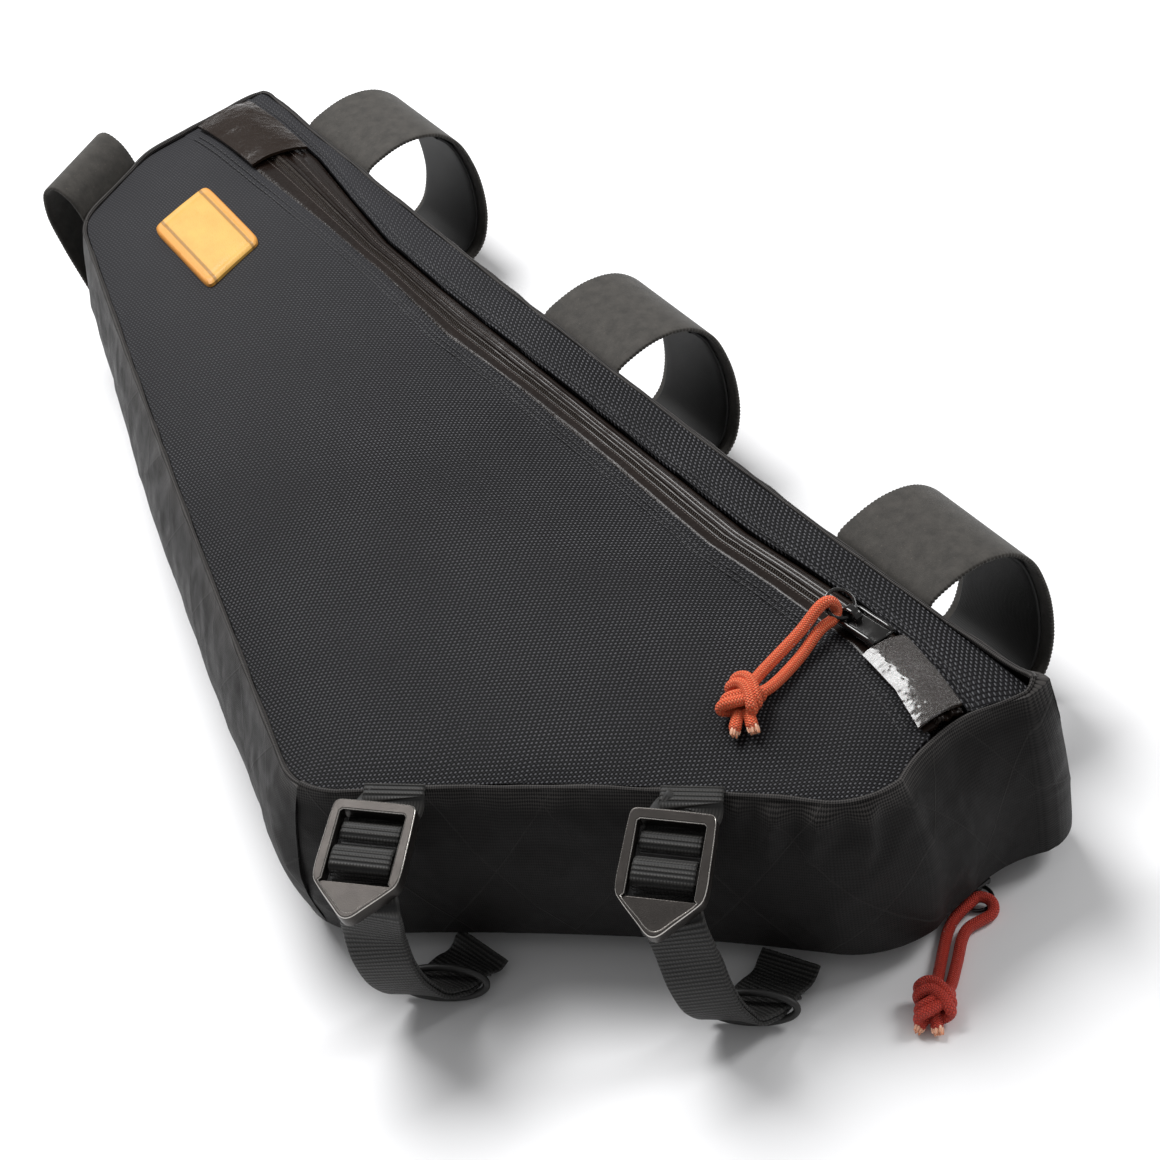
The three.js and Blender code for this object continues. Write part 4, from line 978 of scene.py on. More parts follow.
def knot_ways(knot, strands_from):
    """Centrelines of the knot's cords: two crossing wraps, each of two cords side by side"""
    centre = np.array(knot, float)
    pull = centre - np.array(strands_from)
    pull[2] = 0
    pull = unit(pull)
    wide = np.array((-pull[1], pull[0], 0))
    t = np.linspace(0, 2 * math.pi, 120, endpoint=False)
    ways = []
    for half, high, slant, bulge, place, lift in KNOT_WRAPS:
        across = half * np.cos(t)
        rise = high * np.sin(t) + lift
        bend = bulge * (1 - (across / half) ** 2) * np.sign(np.sin(t)) * np.abs(np.sin(t)) ** 0.5
        for side in (-0.5, 0.5):
            along = place + slant * across + bend + side * KNOT_APART
            way = centre + wide * across[:, None] + pull * along[:, None]
            way[:, 2] = np.maximum(centre[2] + rise, CORD_RADIUS * 0.9)
            ways.append(way)
    return ways


def lead_in(start, centre):
    """Point a little inside the knot, from which an end or a strand comes out"""
    start = np.array(start)
    return start + unit(np.array(centre) - start) * TUCK


def add_cut_end(shell, points, seed):
    """Cord end with its fibres melted and spreading at the cut"""
    way = catmull_rom(points, 30)
    share = np.linspace(0, 1, len(way))
    swelling = 1 + 0.08 * share - 0.2 * smooth_step((share - 0.8) / 0.2)
    add_tube(shell, way, CORD_RADIUS * swelling, 16)
    picker = np.random.default_rng(seed)
    ahead = unit(way[-1] - way[-3])
    side = unit(np.cross(ahead, (0, 0, 1)))
    up = np.cross(side, ahead)
    for _ in range(FIBRES):
        angle = picker.uniform(0, 2 * math.pi)
        out = picker.uniform(0.1, 1.5)
        reach = picker.uniform(0.4, 1.9)
        spread = side * math.cos(angle) + up * math.sin(angle)
        root = way[-1] - ahead * 1.2 + spread * out * 0.95
        tip = way[-1] + ahead * reach + spread * out * 1.1
        middle = (root + tip) / 2 + spread * 0.2
        fibre = catmull_rom((root, middle, tip), 6)
        fibre[:, 2] = np.maximum(fibre[:, 2], 0.6)
        add_tube(shell, fibre, np.linspace(0.55, 0.3, 7), 6, look=1)


def add_pull(prefix, pull, cord_look, fibre_look):
    """Doubled cord through the ring, its knot and its two cut ends"""
    first, second = pull["strands"]
    centre = pull["knot"]
    tucked = [
        lead_in(first[-1], centre), *first[::-1], *pull["bend"], *second, lead_in(second[-1], centre)]
    way = even(catmull_rom(tucked, CORD_FIRST_STEPS), CORD_STEPS)
    for _ in range(CORD_SMOOTHING):
        way[1:-1] = (way[:-2] + 2 * way[1:-1] + way[2:]) / 4
    way[:, 2] = np.maximum(way[:, 2], CORD_RADIUS + 0.1)
    cord = Shell()
    add_tube(cord, way, CORD_RADIUS, 20)
    cord_piece = cord.build(
        prefix + "pull_cord", [cord_look], (prefix + "pull_cord_a", prefix + "pull_cord_b"))
    knot = Shell()
    for loop in knot_ways(centre, first[-1]):
        add_tube(knot, loop, CORD_RADIUS, 16, closed=True)
    knot_piece = knot.build(prefix + "pull_cord_knot", [cord_look], (prefix + "pull_knot",))
    for letter, points, seed in zip("ab", pull["ends"], (3, 4)):
        cut = lerp(np.array(points[0]), points[1], END_SHOWN)
        end = Shell()
        add_cut_end(end, [lead_in(points[0], centre), points[0], cut], seed)
        end.build(
            prefix + "pull_cord_end_" + letter, [cord_look, fibre_look],
            (prefix + "pull_end_" + letter,))


def add_box(shell, low, high, bevel, matrix):
    """Box between two corners with rounded edges"""
    work = bmesh.new()
    bmesh.ops.create_cube(work, size=1)
    low = Vector(low)
    high = Vector(high)
    for vertex in work.verts:
        vertex.co = Vector([lerp(low[k], high[k], vertex.co[k] + 0.5) for k in range(3)])
    bmesh.ops.bevel(work, geom=list(work.edges), offset=bevel, segments=3, profile=0.5, affect="EDGES")
    work.transform(matrix)
    work.verts.index_update()
    points = [tuple(v.co) for v in work.verts]
    faces = [tuple(v.index for v in f.verts) for f in work.faces]
    uvs = [tuple((v.co.x, v.co.y) for v in f.verts) for f in work.faces]
    work.free()
    shell.add(points, faces, uvs)


def moved(points, matrix):
    return np.array([tuple(matrix @ Vector(p)) for p in points])


def slider_matrix(place, base, way):
    """Place of a slider, lying face up or, for the lower zip, face down"""
    turn = Matrix.Rotation(place["turn"], 4, "Z")
    if way < 0:
        turn = turn @ Matrix.Rotation(math.pi, 4, "Z") @ Matrix.Rotation(math.pi, 4, "Y")
    return Matrix.Translation((place["x"], place["y"], base)) @ turn


def add_slider(prefix, place, base, way, lean, look):
    """Slider with two round rails, a bridge and the ring through it"""
    matrix = slider_matrix(place, base, way)
    shell = Shell()
    add_box(shell, (-4.9, -9.4, 0), (4.9, 9.4, 1.6), 0.6, matrix)
    for side in (-1, 1):
        rail = [
            (side * 4.1, -9.3, 1.2), (side * 4.2, -7, 1.75), (side * 4.2, 0, 1.85), (side * 4.2, 6, 1.8),
            (side * 3.6, 9.2, 1.2),
        ]
        add_tube(shell, catmull_rom(moved(rail, matrix), 40), 0.8, 12)
    bridge = [(0, 1.9, 1.2), (0, 2.0, 3.4), (0, 3.3, 4.6), (0, 6.8, 4.6), (0, 8.0, 3.4), (0, 8.1, 1.2)]
    line = catmull_rom(moved(bridge, matrix), 36)
    side = np.array(matrix.to_3x3() @ Vector((1, 0, 0)))
    add_band(shell, line, side, 3.0, 1.0, 5)
    shell.build(prefix + "slider_body", [look], (prefix + "zip_slider",), 40)

    eye = Vector((0, way * SLIDER_BRIDGE_AT, way * place["eye"]))
    eye = Matrix.Rotation(place["turn"], 4, "Z") @ eye + Vector((place["x"], place["y"], base))
    down = Vector(lean).normalized()
    flat = Vector((1, 0.1, 0))
    across = (flat - down * flat.dot(down)).normalized()
    centre = eye + down * RING_RADIUS
    circle = np.array([
        tuple(centre + (across * math.cos(a) + down * math.sin(a)) * RING_RADIUS) for a in turn_angles(48)])
    ring = Shell()
    add_tube(ring, circle, RING_WIRE, 12, closed=True)
    ring.build(prefix + "slider_ring", [look], (prefix + "pull_ring",))


# Panels: width and height of the hems beside the zip
PANEL_HEM = (5.5, 0.35)
BAND_HEM = (3.2, 0.7)
# Rows of stitches beside the zip: distances from its edge, pitch and length, and the thread's thickness
PANEL_STITCHES = ((2.2, 4.6), 3.4, 2.7)
BAND_STITCHES = ((1.8, 4.4), 3.2, 2.5)
SEAM_THREAD = 0.26


def hem(distance, width, height):
    """Raised border that falls off at the given distance from an edge"""
    return height * smooth_step((width - distance) / 1.2)


# Dents and bulges of the main panel: x, y, reach in x and y, depth, turn
DENTS = (
    (36, -196, 20, 12, -1.5, 0.5),
    (10, -205, 24, 9, -1.2, -0.7),
    (-20, -150, 40, 26, 0.9, -0.6),
    (5, -90, 34, 60, 1.0, 0.2),
    (-50, -60, 22, 44, -1.0, 0.4),
    (10, 20, 30, 60, 1.1, 0.1),
    (-32, 70, 16, 50, -0.9, 0.2),
    (16, 120, 26, 40, 0.8, 0.1),
    (40, -30, 9, 60, -0.8, 0.0),
)


def dents(x, y):
    """Height of all dents and bulges together"""
    total = np.zeros_like(x)
    for at_x, at_y, reach_x, reach_y, depth, turn in DENTS:
        dx = x - at_x
        dy = y - at_y
        u = (dx * math.cos(turn) + dy * math.sin(turn)) / reach_x
        v = (dy * math.cos(turn) - dx * math.sin(turn)) / reach_y
        total = total + depth * np.exp(-(u * u + v * v))
    return total


def zip_line(table, rows, start, end, aside):
    """Edge of a panel along the zip, between two points of the outline"""
    y = np.linspace(start[1] + 2 * GAP, end[1] - 2 * GAP, rows)
    return np.stack((read_table(table, y) + aside, y), axis=1)


def zip_wave(y):
    """Small waves of the zip's edges, as sewn cloth has"""
    return 0.5 * noise(y, 0, 17, 21) + 0.25 * noise(y, 0, 7, 22)


def add_main_panel(weave_look, thread_look):
    rows = len(span("seat_top", "head_top"))
    wrap = outline_points(span("head_low", "seat_low"))[::-1]
    zip_side = zip_line(
        ZIP_PANEL_EDGE, rows, OUTLINE[MARKS["seat_low_stop1"]], OUTLINE[MARKS["head_top_stop2"]], -GAP)
    near = outline_points(span("seat_low", "seat_low_stop1"))
    far = outline_points(span("head_top_stop2", "head_low"))[::-1]
    near[-1] = zip_side[0]
    far[-1] = zip_side[-1]
    plan = fill_plan(resample(wrap, rows), zip_side, near, far, 76)
    x = plan[..., 0]
    y = plan[..., 1]
    from_zip = read_table(ZIP_PANEL_EDGE, y) - x
    edge = smooth_step(depth_inside(x, y) / 12)
    z = upper_height(x, y) + dents(x, y) * edge + 0.35 * noise(x, y, 26, 5) * edge
    z = z + hem(from_zip, *PANEL_HEM) + 0.3 * zip_wave(y) * smooth_step(1 - from_zip / 14)
    shell = Shell()
    add_cloth(shell, x, y, z, z - CLOTH, plan)
    asides, pitch, length = PANEL_STITCHES
    for aside in asides:
        line_y = np.linspace(SEAT_COVER[0] + 3, ZIP_ENDS[1] - 6, 300)
        line_x = read_table(ZIP_PANEL_EDGE, line_y) - aside
        base = upper_height(line_x, line_y) + dents(line_x, line_y) + PANEL_HEM[1]
        line = np.stack((line_x, line_y, base + 0.3 * zip_wave(line_y)), axis=1)
        add_stitches(shell, line, pitch, length, SEAM_THREAD)
    return shell.build("main_panel_cloth", [weave_look, thread_look], ("main_panel",))


def add_top_band(weave_look, thread_look):
    rows = len(span("seat_top", "head_top"))
    top_edge = outline_points(span("seat_top", "head_top"))
    zip_side = zip_line(
        ZIP_BAND_EDGE, rows, OUTLINE[MARKS["seat_low_stop2"]], OUTLINE[MARKS["head_top_stop1"]], GAP)
    near = outline_points(span("seat_low_stop2", "seat_top"))
    far = outline_points(span("head_top", "head_top_stop1"))[::-1]
    near[0] = zip_side[0]
    far[0] = zip_side[-1]
    plan = fill_plan(zip_side, top_edge, near, far, 30)
    x = plan[..., 0]
    y = plan[..., 1]
    from_zip = x - read_table(ZIP_BAND_EDGE, y)
    rise = 0.8 * np.exp(-(((from_zip - 9) / 5) ** 2))
    z = upper_height(x, y) + hem(from_zip, *BAND_HEM) + rise + 0.5 * zip_wave(y + 40)
    z = z + 0.3 * noise(x, y, 15, 8)
    shell = Shell()
    add_cloth(shell, x, y, z, z - CLOTH, plan)
    line_y = np.linspace(-224, 268, 300)
    asides, pitch, length = BAND_STITCHES
    for aside in asides:
        line_x = read_table(ZIP_BAND_EDGE, line_y) + aside
        base = upper_height(line_x, line_y) + 0.5 * zip_wave(line_y + 40)
        line = np.stack((line_x, line_y, base + hem(aside, *BAND_HEM) + 0.15), axis=1)
        add_stitches(shell, line, pitch, length, SEAM_THREAD)
    return shell.build("top_band_cloth", [weave_look, thread_look], ("top_band",))


def add_lower_panel(weave_look):
    rows = len(span("seat_top", "head_top"))
    wrap = resample(outline_points(span("head_low", "seat_low"), 1)[::-1], rows)
    top_edge = outline_points(span("seat_top", "head_top"), 1)
    near = outline_points(span("seat_low", "seat_top"), 1)
    far = outline_points(span("head_top", "head_low"), 1)[::-1]
    plan = fill_plan(wrap, top_edge, near, far, 60)
    x = plan[..., 0]
    y = plan[..., 1]
    low = lower_height(x, y)
    low = low + 0.5 * (1 + noise(x, y, 22, 9)) * smooth_step(low / 3)
    shell = Shell()
    add_cloth(shell, x, y, low + CLOTH, low, plan)
    return shell.build("lower_panel_cloth", [weave_look], ("lower_panel",))


# Zip: steps along the tape, steps across each half, and the share of the width where a half ends
ZIP_ROWS = 420
ZIP_COLUMNS = 26
ZIP_MIDDLE = 0.492
# Half width of the ridge over the coil, as a share, and the column along which the stitches run
RIDGE_SHARE = 0.095
STITCH_COLUMN = 15
# Covers over the zip's ends: steps of their grids, and how far inside the strip's edges they end
COVER_ROWS = 110
COVER_COLUMNS = 70
COVER_INSET = 0.03


def zip_half(shares, lifts, seed):
    """Grid of one half of the tape: heights over the panel at shares of the strip's width"""
    y = np.linspace(ZIP_ENDS[0], ZIP_ENDS[1], ZIP_ROWS)[:, None]
    right = read_table(ZIP_BAND_EDGE, y) - 0.8
    left = read_table(ZIP_PANEL_EDGE, y) + 0.8
    share = np.array(shares)[None, :]
    x = lerp(left, right, share)
    wave = 0.3 * noise(y + share * 8, share * 5, 22, seed) + 0.06 * noise(y, share * 20, 5, seed + 1)
    z = upper_height(x, y) + np.array(lifts)[None, :] + wave * (1 - np.abs(2 * share - 1) * 0.4)
    grid = np.stack((x, np.broadcast_to(y, x.shape), z), axis=-1)
    uv = np.stack((np.broadcast_to(share * 2, x.shape), np.broadcast_to(y, x.shape)), axis=-1)
    return grid, uv


def add_zip(tape_look, thread_look):
    """The two halves of the coated tape, meeting over the coil"""
    shares = np.linspace(0, ZIP_MIDDLE, ZIP_COLUMNS)
    ridge = np.exp(-(((shares - ZIP_MIDDLE) / RIDGE_SHARE) ** 4))
    lifts = TAPE_LIFT - 0.9 * smooth_step(1 - shares / 0.1) + (COIL_RIDGE + 0.2) * ridge
    for name, node, way, seed in (("panel", "panel_side", 1, 31), ("band", "band_side", -1, 33)):
        own = shares if way > 0 else 1 - shares[::-1]
        own_lifts = lifts if way > 0 else lifts[::-1] + 1.1 * np.exp(-(((own - 0.76) / 0.075) ** 2))
        over, uv = zip_half(own, own_lifts, seed)
        under = over.copy()
        under[..., 2] -= TAPE
        shell = Shell()
        thick_sheet(shell, over, under, uv)
        column = STITCH_COLUMN if way > 0 else ZIP_COLUMNS - 1 - STITCH_COLUMN
        line = over[4:-4, column] + np.array((0, 0, 0.02))
        add_stitches(shell, line, 1.5, 1.1, 0.17)
        shell.build("zip_tape_" + name, [tape_look, thread_look], ("zip_tape_" + node,))


def add_cover(place, ends, look, seed):
    """Crinkled patch over one end of the zip"""
    y = np.linspace(*ends, COVER_ROWS)[:, None]
    share = np.linspace(COVER_INSET, 1 - COVER_INSET, COVER_COLUMNS)[None, :]
    x = lerp(read_table(ZIP_PANEL_EDGE, y), read_table(ZIP_BAND_EDGE, y), share)
    y = np.broadcast_to(y, x.shape)
    dome = 1.9 * (1 - np.abs(2 * share - 1) ** 2.2)
    crinkle = 0.05 * noise(x, y, 1.1, seed) + 0.08 * noise(x, y, 2.4, seed + 1)
    z = upper_height(x, y) + TAPE_LIFT + 0.6 + dome + crinkle + 0.3 * noise(x, y, 8, seed + 2)
    shell = Shell()
    add_cloth(shell, x, y, z + TAPE, z, np.stack((x, y), axis=-1))
    return shell.build("cover_" + place, [look], ("zip_cover_" + place,))


# Gusset, and the direction of its seat side from the tail corner
TAIL = np.array((*CORNERS["tail"][:2], 0), float)
SEAT_ALONG = unit(np.array((*CORNERS["seat_low"][:2], 0), float) - TAIL)
SEAT_OUT = np.array((SEAT_ALONG[1], -SEAT_ALONG[0], 0))


def gusset_wall(indexes):
    """Outer face of the gusset: share down it, height and offset from the upper outline"""
    share = np.linspace(0, 1, GUSSET_ROWS)[None, :]
    head = SEAM_TOP + EDGE_ROLL
    foot = SEAM_LOW - GAP
    z = lerp(head, foot, share)
    bulge = BULGE[indexes][:, None]
    lean = LEAN[indexes][:, None]
    offset = GAP + lean * share + bulge * np.sin(math.pi * share)
    return share, np.broadcast_to(z, offset.shape), offset


GUSSET_ROWS = 44
GUSSET_DEPTH = 60
# Sides of the gusset: the marked places where each begins and ends, and the seed of its folds
GUSSET_SIDES = {
    "top": ("seat_top", "head_top", 61),
    "head": ("head_top", "head_end", 71),
    "bottom": ("head_end", "tail", 81),
    "seat": ("tail", "seat_top", 91),
}
# Corner creases of the gusset: marked place, height of the ridge at the seam, how far down it reaches
CORNER_RIDGES = (("seat_top", 4.2, 0.95), ("tail", 1.2, 0.5), ("head_top", 1.5, 0.5))
RIDGE_WIDTH = 3
# How much farther a ridge counts as away at the foot than at the seam
RIDGE_THINNING = 5
# Gathers below the seam: distance along the seat edge where they start and end, pitch, depth, reach
GATHERS = ((137, 184, 14, 5.2, 0.42), (44, 96, 17, 1.2, 0.25))
# Distance over which gathers begin and end, and how far they lean along the edge from seam to foot
GATHER_FADE = 6
GATHER_LEAN = 14
# The folded corner at the end of the band: height of its peak and how far it spreads
PEAK = 5
PEAK_SPREAD = 7


def gusset_folds(run, share, seed):
    """Folds and creases of the thin cloth, in millimetres outward"""
    down = share * GUSSET_DEPTH
    fold = 0.8 * noise(run, down * 0.6, 34, seed) + 0.35 * noise(run + down * 0.5, down, 17, seed + 1)
    fold = fold + 0.6 * (creases(run + down * 0.9, down * 0.5, 31, seed + 2) - 0.3)
    fold = fold + 0.35 * (creases(run - down * 0.8, down * 0.5, 23, seed + 3) - 0.3)
    gather = 0.3 * noise(run, down * 0.1, 6.0, seed + 4) * np.exp(-share / 0.12)
    return fold * smooth_step(share / 0.15) * smooth_step((1 - share) / 0.12 + 0.2) + gather


def gathers(along, share):
    """Pointed folds hanging from the seam of the seat side"""
    total = np.zeros(np.broadcast(along, share).shape)
    for start, end, pitch, depth, reach in GATHERS:
        within = smooth_step((along - start) / GATHER_FADE) * smooth_step((end - along) / GATHER_FADE)
        zigzag = np.abs(((along + share * GATHER_LEAN) / pitch) % 1 - 0.5) * 2
        pointed = np.clip(1 - share / (reach * (0.35 + 0.65 * zigzag)), 0, 1)
        total = total + depth * within * zigzag * pointed * smooth_step(share / 0.07)
    return total


def corner_ridges(indexes, share):
    """Sharp creases running down from the corners of the seam"""
    total = np.zeros((len(indexes), share.shape[1]))
    for place, height, reach in CORNER_RIDGES:
        corner = OUTLINE[MARKS[place]]
        away = np.linalg.norm(OUTLINE[indexes] - corner, axis=1)[:, None] + share * RIDGE_THINNING
        total = total + height * np.exp(-away / RIDGE_WIDTH) * smooth_step(1 - share / reach)
    return total


def add_gusset(side, look):
    """One side's cloth from a rolled lip at the seam down to the lower panel"""
    first, last, seed = GUSSET_SIDES[side]
    indexes = span(first, last)
    share, z, offset = gusset_wall(indexes)
    run = lengths(OUTLINE[indexes])[:, None]
    along = (OUTLINE[indexes] - TAIL[:2]) @ SEAT_ALONG[:2]
    offset = offset + gusset_folds(run, share, seed) + corner_ridges(indexes, share)
    if side == "seat":
        offset = offset + gathers(along[:, None], share)
    lip_angle = np.radians(np.linspace(200, 10, 8))[None, :]
    roll = 1.0 + 0.25 * noise(run, 0, 9, seed + 6)
    lip_offset = GAP + CLOTH / 2 + roll * np.cos(lip_angle)
    from_corner = np.linalg.norm(OUTLINE[indexes] - OUTLINE[MARKS["seat_top"]], axis=1)
    peak = PEAK * np.exp(-from_corner / PEAK_SPREAD)[:, None]
    lip_z = SEAM_TOP + EDGE_ROLL - 0.6 + roll * np.sin(lip_angle) + 0.5 * noise(run, 0, 14, seed + 7) + peak
    outer_offset = np.concatenate((lip_offset, offset + CLOTH), axis=1)
    z = z + peak * np.clip(1 - share * 4, 0, 1)
    outer_z = np.concatenate((lip_z, z - 0.7 * (1 - share)), axis=1)
    inner_offset = offset[:, ::-1]
    inner_z = z[:, ::-1]
    ring_offset = np.concatenate((outer_offset, inner_offset[:, :-1]), axis=1)
    ring_z = np.concatenate((outer_z, inner_z[:, :-1]), axis=1)
    base = OUTLINE[indexes][:, None]
    plan = base + OUTWARD[indexes][:, None] * ring_offset[..., None]
    rings = np.concatenate((plan, ring_z[..., None]), axis=-1)
    loop = rings[len(rings) // 2]
    around = lengths(np.concatenate((loop, loop[:1])))
    shell = Shell()
    shell.add_loft(rings, run[:, 0], around)
    return shell.build("gusset_" + side + "_cloth", [look], ("gusset_" + side,))


# Label
def add_label(look):
    """Rounded label with a raised field inside its border"""
    angle = turn_angles(120)
    # The smaller the power, the sharper the corners
    power = 0.16
    s = np.sign(np.cos(angle)) * np.abs(np.cos(angle)) ** power
    t = np.sign(np.sin(angle)) * np.abs(np.sin(angle)) ** power
    size = np.linspace(1, 0.0, 26)
    s = 0.5 + 0.5 * size[:, None] * s[None]
    t = 0.5 + 0.5 * size[:, None] * t[None]
    a, b, c, d = [np.array(p, float) for p in LABEL_CORNERS]
    plan = lerp(lerp(a, b, t[..., None]), lerp(d, c, t[..., None]), s[..., None])
    edge = size[:, None]
    rounding = 0.9 * (1 - np.sqrt(np.clip(1 - ((edge - 0.93) / 0.07).clip(0, 1) ** 2, 0, 1)))
    groove = 0.35 * np.exp(-(((edge - 0.86) / 0.03) ** 2))
    z = upper_height(plan[..., 0], plan[..., 1]) + GAP + LABEL_THICKNESS - rounding - groove
    top = np.concatenate((plan, z[..., None]), axis=-1)
    wall = top[:1].copy()
    wall[..., 2] = upper_height(plan[:1, :, 0], plan[:1, :, 1]) + 0.2
    layers = np.concatenate((wall, top), axis=0)
    uv = np.stack((s, t), axis=-1)
    uv = np.concatenate((uv[:1], uv), axis=0)
    layers = np.concatenate((layers, layers[:, :1]), axis=1)
    uv = np.concatenate((uv, uv[:, :1]), axis=1)
    shell = Shell()
    shell.add_grid(layers, uv)
    return shell.build("label_leather", [look], ("label",))


# Straps
def top_edge_x(y):
    """How far out the top edge lies at a place along it"""
    points = outline_points(span("seat_top", "head_top"))
    return float(np.interp(y, points[:, 1], points[:, 0]))


def profile(table, first, last, inside, steps):
    """Even points of a side view between two shares of it, moved to the inside of the loop"""
    fine = 600
    at = np.linspace(first, last, steps + 1) * fine
    line = interpolate(at, np.arange(fine + 1), catmull_rom(table, fine))
    along = tangents(line)
    return np.stack((line[:, 0] + along[:, 1] * inside, line[:, 1] - along[:, 0] * inside), axis=1)


def worn_edge(period, depth):
    """Fine teeth along both edges of a strap"""
    def ripple(run, wide, through):
        tooth = np.abs(((run / period) % 1) - 0.5) * 2 * depth
        return wide - np.sign(wide) * tooth * (np.abs(wide) > 0.9 * np.max(np.abs(wide))), through
    return ripple


def add_top_strap(name, y, out, face_look, lining_look):
    half = STRAP_WIDTH / 2
    base = out + max(top_edge_x(y - half), top_edge_x(y + half))
    across = np.array((0, 1.0, 0))

    def layer(table, first, last, inside, steps):
        points = profile(table, first, last, inside, steps)
        return np.stack((base + points[:, 0], np.full(len(points), y), points[:, 1]), axis=1)

    outer = layer(STRAP_ROOT + STRAP_PROFILE, 0, 1, 0, 440)
    shell = Shell()
    add_band(shell, outer, across, STRAP_WIDTH, STRAP_OUTER, 13, worn_edge(1.5, 0.45))
    shell.build("strap_" + name + "_outer", [face_look], ("top_strap_" + name,))
    inner = layer(STRAP_PROFILE, 0.27, 0.96, (STRAP_OUTER + STRAP_INNER) / 2 + 2 * GAP, 260)
    lining = Shell()
    add_band(lining, inner, across, STRAP_INNER_WIDTH, STRAP_INNER, 11)
    lining.build("strap_" + name + "_inner", [lining_look], ("top_strap_" + name + "_lining",))


def add_head_strap(look):
    indexes = span("head_low", "head_end")
    first = OUTLINE[indexes[0]]
    last = OUTLINE[indexes[-1]]
    middle = (first + last) / 2
    along = unit(last - first)
    out = np.array((along[1], -along[0]))
    points = profile(HEAD_STRAP_ROOT + HEAD_STRAP_PROFILE, 0, 1, 0, 240)
    plan = middle + out * (points[:, :1] + HEAD_STRAP_OUT)
    centre = np.stack((plan[:, 0], plan[:, 1], points[:, 1]), axis=1)
    across = np.array((along[0], along[1], 0))
    shell = Shell()
    add_band(shell, centre, across, HEAD_STRAP_WIDTH, STRAP_OUTER, 13, worn_edge(1.5, 0.3))
    return shell.build("strap_head_end", [look], ("head_strap",))


# Seat straps with their ladder buckles
def on_seat_edge(out, up, along):
    return TAIL + SEAT_ALONG * along + SEAT_OUT * out + np.array((0, 0, up))


class BuckleFrame:
    """Place of one buckle: across, down its length and out of its face"""

    def __init__(self, place):
        slope = SEAT_OUT * math.cos(place["slope"]) - np.array((0, 0, math.sin(place["slope"])))
        face = unit(np.cross(SEAT_ALONG, slope))
        if face[2] < 0:
            face = -face
        turn = Matrix.Rotation(-BUCKLE["turn"], 3, Vector(face))
        self.origin = on_seat_edge(BUCKLE["out"], BUCKLE["up"], place["buckle"])
        self.across = np.array(turn @ Vector(SEAT_ALONG))
        self.down = np.array(turn @ Vector(slope))
        self.face = face

    def at(self, side, down, face):
        return self.origin + self.across * side + self.down * down + self.face * face

    def points(self, table):
        """Points of a way through the buckle from rows of down, face, side"""
        return [self.at(side, down, face) for down, face, side in table]

    def matrix(self):
        turn = Matrix((self.across, self.down, self.face)).transposed().to_4x4()
        return Matrix.Translation(self.origin) @ turn


def buckle_outline(inset):
    """Closed outline of the buckle: flat rim at one end, pointed tab at the other"""
    half = BUCKLE["width"] / 2 - inset
    top = inset
    tip = BUCKLE["length"] - inset * 1.3
    end = BUCKLE["window_end"]
    left = [
        (-half + 3.5, top), (-half + 1.3, top + 0.7), (-half + 0.6, top + 3), (-half + 0.1, end - 10),
        (-half, end - 5), (-half + 0.6, end - 0.6), (-half + 2.5, end + 2), (-5.2, tip - 4.3),
        (-2.6, tip - 1.7), (-0.9, tip - 0.7),
    ]
    right = [(-x, y) for x, y in left[::-1]]
    return smooth_closed(left + right, 3)


def smooth_closed(points, steps):
    """Closed line through points, rounded between them"""
    p = np.asarray(points, float)
    result = []
    for i in range(len(p)):
        a, b, c, d = p[i - 1], p[i], p[(i + 1) % len(p)], p[(i + 2) % len(p)]
        reach = np.linalg.norm(c - b)
        m1 = unit(c - a) * reach
        m2 = unit(d - b) * reach
        for k in range(steps):
            t = k / steps
            result.append(
                (2 * t ** 3 - 3 * t ** 2 + 1) * b + (t ** 3 - 2 * t ** 2 + t) * m1
                + (3 * t ** 2 - 2 * t ** 3) * c + (t ** 3 - t ** 2) * m2)
    return np.array(result)


def plate_with_hole(outer, holes, low, high, bevel):
    """Mesh of a flat plate from its outline and holes, with rounded rims"""
    curve = bpy.data.curves.new("plate", "CURVE")
    curve.dimensions = "2D"
    curve.fill_mode = "BOTH"
    for line in (outer, *holes):
        spline = curve.splines.new("POLY")
        spline.points.add(len(line) - 1)
        for point, (x, y) in zip(spline.points, line):
            point.co = (x, y, 0, 1)
        spline.use_cyclic_u = True
    curve.extrude = (high - low) / 2 - bevel
    curve.bevel_depth = bevel
    curve.bevel_resolution = 2
    curve.offset = -bevel
    holder = bpy.data.objects.new("plate", curve)
    mesh = bpy.data.meshes.new_from_object(holder)
    bpy.data.objects.remove(holder)
    bpy.data.curves.remove(curve)
    for vertex in mesh.vertices:
        vertex.co.z += (high + low) / 2
    return mesh


def add_mesh(shell, mesh, matrix, look=0, rim_highlight_look=None, rim_highlight_above=0.0):
    """Adds a made mesh; its slanting rim faces above a height take the look of painted highlight"""
    points = [tuple(matrix @ v.co) for v in mesh.vertices]
    groups = {look: [], rim_highlight_look: []}
    for face in mesh.polygons:
        slanting = 0.25 < abs(face.normal.z) < 0.96
        rim_highlight = rim_highlight_look is not None and slanting and face.center.z > rim_highlight_above
        groups[rim_highlight_look if rim_highlight else look].append(tuple(face.vertices))
    first = True
    base = shell.count
    for group, faces in groups.items():
        if group is None or not faces:
            continue
        uvs = [tuple((mesh.vertices[v].co.x, mesh.vertices[v].co.y) for v in face) for face in faces]
        if first:
            shell.add(points, faces, uvs, group)
            first = False
        else:
            shell.faces.extend([tuple(v + base for v in face) for face in faces])
            shell.uvs.extend([pair for face in uvs for pair in face])
            shell.looks.extend([group] * len(faces))


